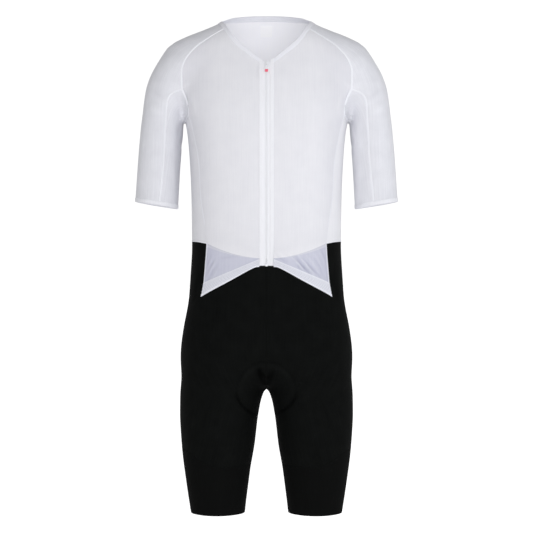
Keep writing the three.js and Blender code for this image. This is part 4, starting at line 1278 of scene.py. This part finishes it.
rounded_copy("slider_body", "zip_slider", "body", enamel, 0.25)
rounded_copy("bottom_stop", "zip_stop", "body", enamel, 0.3)
rounded_copy("pull_bar", "zip_pull", "pull", enamel, 0.2)
rounded_copy("pull_tip_moulded", "zip_pull_tip", "pull", coral, 0.5)

# ---- Neck label --------------------------------------------------------------------------------------
# A small bare patch of white satin inside the back of the neck, folded under at its ends and tacked
# down at its corners.

label_low, label_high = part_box("neck_label")
# The satin glows faintly: a painted light for the daylight that comes through the thin cloth behind it.
label_satin = knitted(
    "label_satin", (0.88, 0.88, 0.89), (0.96, 0.96, 0.97), 0.0003, 0.0008, 0.25, 0.05, 0.38,
    Sheen_Weight=0.2, Sheen_Roughness=0.3, Specular_IOR_Level=0.55,
    Emission_Color=(0.98, 0.98, 1.0, 1), Emission_Strength=0.11,
)
across, down = np.meshgrid(
    np.linspace(label_low[0], label_high[0], 17) / MM, np.linspace(label_high[2], label_low[2], 17) / MM
)
label_grid = on_back(across.ravel(), down.ravel()).reshape(17, 17, 3)
u, v = np.meshgrid(np.linspace(-1, 1, 17), np.linspace(-1, 1, 17))
curl = 0.35 * (np.abs(v) > 0.85) + 0.5 * (u * v) ** 2 - 0.7 * (1 - v**2) * np.cos(1.2 * u)
patch_points = raised(label_grid, -1.75 + 0.4 * curl)
label = cloth("label_patch", patch_points, grain(label_grid), [label_satin], thickness=0.45)
fit(label, "label", "neck_label")
tack_places = label_grid[[1, 1, 1, 15, 15, 15], [1, 8, 15, 1, 8, 15]]
tack_ways = np.tile([1.0, 0, 0], (len(tack_places), 1))
tacks = scatter("label_tacks", tack_places, tack_ways, (2.2, 0.5, 0.5), zip_nylon, lift=-2.45)
fit(tacks, "label")

# ---- Seat pad ----------------------------------------------------------------------------------------
# A thick moulded foam pad, faced with brushed knit, sewn inside the shorts over the crotch. From
# outside only its outline shows.

pad_knit = new_material("pad_brushed_knit", (0.018, 0.018, 0.02), 0.9, Sheen_Weight=0.3)
tree = pad_knit.node_tree
place = add_node(tree, "ShaderNodeTexCoord")
nap = noise(tree, place.outputs["Object"], 700, 5)
two_tone(tree, nap.outputs["Fac"], (0.012, 0.012, 0.014), (0.035, 0.035, 0.04))
holes = add_node(tree, "ShaderNodeTexVoronoi")
socket(holes, "Scale", 240)
tree.links.new(place.outputs["Object"], holes.inputs["Vector"])
relief(tree, holes.outputs["Distance"], 0.5, 0.4)

VOXEL, SWELL_LIMIT, PAD_DEPTH = 4, 1.2, 2.2  # the pad stays this far under the shorts' outer face
bm = bmesh.new()
bm.from_mesh(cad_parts["seat_pad"].data)
bmesh.ops.remove_doubles(bm, verts=bm.verts, dist=2e-6)
bmesh.ops.triangulate(bm, faces=bm.faces)
bmesh.ops.subdivide_edges(bm, edges=bm.edges, cuts=2, use_grid_fill=True)
pad = place_bmesh("pad_foam", bm)


def bake_modifiers(piece):
    """The piece's mesh becomes what its modifiers make of it."""
    bpy.context.view_layer.update()
    made = bpy.data.meshes.new_from_object(piece.evaluated_get(bpy.context.evaluated_depsgraph_get()))
    piece.modifiers.clear()
    piece.data = made


def vertex_array(mesh):
    """The mesh's vertices as rows of x, y and z."""
    flat = np.empty(len(mesh.vertices) * 3)
    mesh.vertices.foreach_get("co", flat)
    return flat.reshape(-1, 3)


remesh = pad.modifiers.new("remesh", "REMESH")
remesh.mode = "VOXEL"
remesh.voxel_size = VOXEL * MM
bake_modifiers(pad)
before = vertex_array(pad.data)
swell = pad.modifiers.new("swell", "CLOTH")
swell.settings.use_pressure = True
swell.settings.uniform_pressure_force = 4
swell.settings.effector_weights.gravity = 0
swell.settings.quality = 5
for moment in range(1, 21):
    bpy.context.scene.frame_set(moment)
bake_modifiers(pad)
bpy.context.scene.frame_set(1)
moved = vertex_array(pad.data) - before
far = np.linalg.norm(moved, axis=1)[:, None]
moved *= np.minimum(1, SWELL_LIMIT * MM / np.maximum(far, 1e-9))
pad.data.vertices.foreach_set("co", (before + moved).ravel())
refine = pad.modifiers.new("refine", "SUBSURF")
refine.levels = refine.render_levels = 1
bake_modifiers(pad)
points = vertex_array(pad.data) / MM
room = -PAD_DEPTH + np.minimum(fold_height(points, SHORTS_FOLDS), 0)
points += outward(points) * np.minimum(room - form(points), 0)[:, None]
pad.data.vertices.foreach_set("co", (points * MM).ravel())
for face in pad.data.polygons:
    face.use_smooth = True
pad.data.materials.clear()
pad.data.materials.append(pad_knit)
fit(pad, "pad", "seat_pad")

# ---- Seams -------------------------------------------------------------------------------------------
# The panels butt edge to edge and are joined by flat seams: a raised band of close thread, four
# needles wide, lies over each join. White thread is used on the jersey, and black on the shorts.

LOOP_PITCH, NEEDLE_PITCH = 0.0009, 0.0012
BAND_STEPS = 6


def thread(name, dark, light, roughness, specular):
    """Close rows of thread, with painted shade between the loops."""
    material = new_material(name, light, roughness, Specular_IOR_Level=specular)
    tree = material.node_tree
    where = add_node(tree, "ShaderNodeUVMap", uv_map="cloth")
    split = add_node(tree, "ShaderNodeSeparateXYZ")
    tree.links.new(where.outputs["UV"], split.inputs[0])
    crossing = math_node(tree, "MULTIPLY", split.outputs["Y"], 2 * math.pi / LOOP_PITCH)
    needles = math_node(tree, "MULTIPLY", split.outputs["X"], 2 * math.pi / NEEDLE_PITCH)
    loops = math_node(
        tree, "ADD", math_node(tree, "COSINE", crossing),
        math_node(tree, "MULTIPLY", math_node(tree, "COSINE", needles), 0.5),
    )
    tone = add_node(tree, "ShaderNodeMapRange")
    socket(tone, "From Min", -1.5)
    socket(tone, "From Max", 0.6)
    tree.links.new(loops, tone.inputs["Value"])
    two_tone(tree, tone.outputs["Result"], dark, light)
    relief(tree, loops, 0.35, 0.12)
    return material


white_thread = thread("white_thread", (0.79, 0.80, 0.84), (0.90, 0.905, 0.95), 0.6, 0.3)
# The side seams' thread is a darker copy of the white one: painted shade for the sides, which turn away
# from the light.
side_thread_in_shade = thread("side_thread_in_shade", (0.72, 0.725, 0.765), (0.84, 0.845, 0.89), 0.7, 0.2)
black_thread = thread("black_thread", (0.0024, 0.0027, 0.0025), (0.0050, 0.0055, 0.0052), 0.85, 0.03)


def seam_band(name, lines, material, folds, width=4.2, rise=1.0, slot="light_mesh", lifted=False):
    """Raised bands of thread along lines on the form, all in one mesh."""
    bm = bmesh.new()
    layer = bm.loops.layers.uv.new("cloth")
    t = np.linspace(-1, 1, BAND_STEPS + 1)[:, None]
    for path in lines:
        places, ways = along_line(path, 1.6)
        places = np.vstack([path[:1], places, path[-1:]])
        ways = np.vstack([ways[:1], ways, ways[-1:]])
        sideways = np.cross(ways, outward(places))
        wavy = 1 + 0.05 * np.sin(travelled(places) / 5)[:, None]
        grid = settle(places + t[:, None] * sideways * wavy * width / 2, 5)
        height = fold_height(grid, folds) - 0.3 + (rise + 0.15) * np.sqrt(1 - np.abs(t) ** 3) - 0.15
        height = height + flap_lift(grid) * lifted
        made = bmesh.ops.create_grid(bm, x_segments=len(places) - 1, y_segments=BAND_STEPS, size=1)
        made = made["verts"]
        run = travelled(places)
        for vertex, point in zip(made, raised(grid, height).reshape(-1, 3) * MM):
            vertex.co = point
        bm.verts.index_update()
        first = made[0].index
        for face in {face for vertex in made for face in vertex.link_faces}:
            face.smooth = True
            for loop in face.loops:
                row, column = divmod(loop.vert.index - first, len(places))
                loop[layer].uv = (float(t[row, 0]) * width / 2 * MM, float(run[column]) * MM)
        face = made[len(places) // 2].link_faces[0]
        face.normal_update()
        if face.normal.dot(Vector(outward(np.array([made[len(places) // 2].co]) / MM)[0])) < 0:
            bmesh.ops.reverse_faces(bm, faces=list({f for v in made for f in v.link_faces}))
    fit(place_bmesh(name, bm, material), slot)


def mirrored(*lines):
    """Lines and their mirrors."""
    return [*lines, *[path * MIRROR for path in lines]]


seam_band("raglan_seams", mirrored(raglan_front, raglan_back, armhole), white_thread, JERSEY_FOLDS)
sleeve_lines = mirrored(sleeve_front_seam, sleeve_back_seam)
seam_band("sleeve_seams", sleeve_lines, white_thread, JERSEY_FOLDS, 3.6, 0.8)
side_lines = mirrored(side_seam_front, side_seam_back)
seam_band("side_seams", side_lines, side_thread_in_shade, JERSEY_FOLDS, 3.4, 0.5)
waist_lines = mirrored(chain(waist_front, waist_side, waist_back))
seam_band("waist_seam", waist_lines, white_thread, JERSEY_FOLDS, 3.0)
shorts_lines = [centre_front, centre_back, *mirrored(inseam, shorts_side)]
seam_band("shorts_seams", shorts_lines, black_thread, SHORTS_FOLDS, 2.8, 0.4, "black_lycra")
leg_lines = mirrored(chain(band_seam_front, band_seam_back))
seam_band("leg_band_seams", leg_lines, black_thread, SHORTS_FOLDS, rise=0.45, slot="black_band")
flap_lines = mirrored(flap_edge + (-1.5, 0, 0))
seam_band("flap_side_hems", flap_lines, hem_knit, FLAP_FOLDS, 3.0, 0.9, lifted=True)

neck_line = both_sides(chain(sleeve_neck_seam, back_neck_seam))
inside_grid = strip(settle(neck_line + (0, 0, -1.6)), settle(neck_line + (0, 0, 2.0)), 6)
bulge = np.sin(np.linspace(0, math.pi, 7))[:, None] ** 0.5
inside_points = raised(inside_grid, -1.3 - 0.5 * bulge)
inside_grain = grain(inside_grid, level=False)
fit(cloth("neck_seam_inside", inside_points, inside_grain, [white_thread], thickness=0.4), "binding")

# ---- Topstitching --------------------------------------------------------------------------------------
# Rows of single lockstitches hold the turned edges: two on each cuff and on each flap's hem band, two
# on each side of the zip, one on the neck binding, and one at each leg hem.


def stitch_rows(name, paths, material, folds, pitch=2.9, lift=0.25, lifted=False, slot="light_mesh"):
    """Single stitches along lines on the form, all in one mesh."""
    places, ways = (np.vstack(rows) for rows in zip(*[along_line(path, pitch) for path in paths]))
    places = raised(places, fold_height(places, folds) + flap_lift(places) * lifted)
    fit(scatter(name, places, ways, (2.2, 0.6, 0.5), material, lift), slot)


def row_between(first, second, share):
    """A line on the form at a share of the way between two."""
    return settle(first + (second - first) * share, 5)


cuff_rows = [row_between(cuff_top, cuff_edge, share) for share in (0.1, 0.36)]
stitch_rows("cuff_stitches", mirrored(*cuff_rows), zip_nylon, [], lift=0.75)
for name, share, lift in (("flap_stitches", 0.08, 0.6), ("flap_edge_stitches", 0.86, 0.7)):
    row = row_between(flap_hem_seam, flap_hem_edge, share)
    stitch_rows(name, mirrored(row), zip_nylon, FLAP_FOLDS, lift=lift, lifted=True)
zip_rows = [zip_side(x, ZIP_TOP - 1, ZIP_BOTTOM + 1, 30) for x in (8.2, 12.6)]
stitch_rows("zip_stitches", mirrored(*zip_rows), zip_nylon, [], lift=0.65)
stitch_rows(
    "binding_stitches", [row_between(binding_seam, binding_edge, 0.13)], zip_nylon, [], lift=0.6
)
black_stitch = new_material("black_stitch_thread", (0.006, 0.006, 0.006), 0.8, Specular_IOR_Level=0.05)
hem_rows = [
    row_between(leg_hem_front, band_seam_front, 0.06), row_between(leg_hem_back, band_seam_back, 0.06)
]
stitch_rows("shorts_stitches", mirrored(*hem_rows), black_stitch, [], lift=0.1, slot="black_band")

low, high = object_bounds()
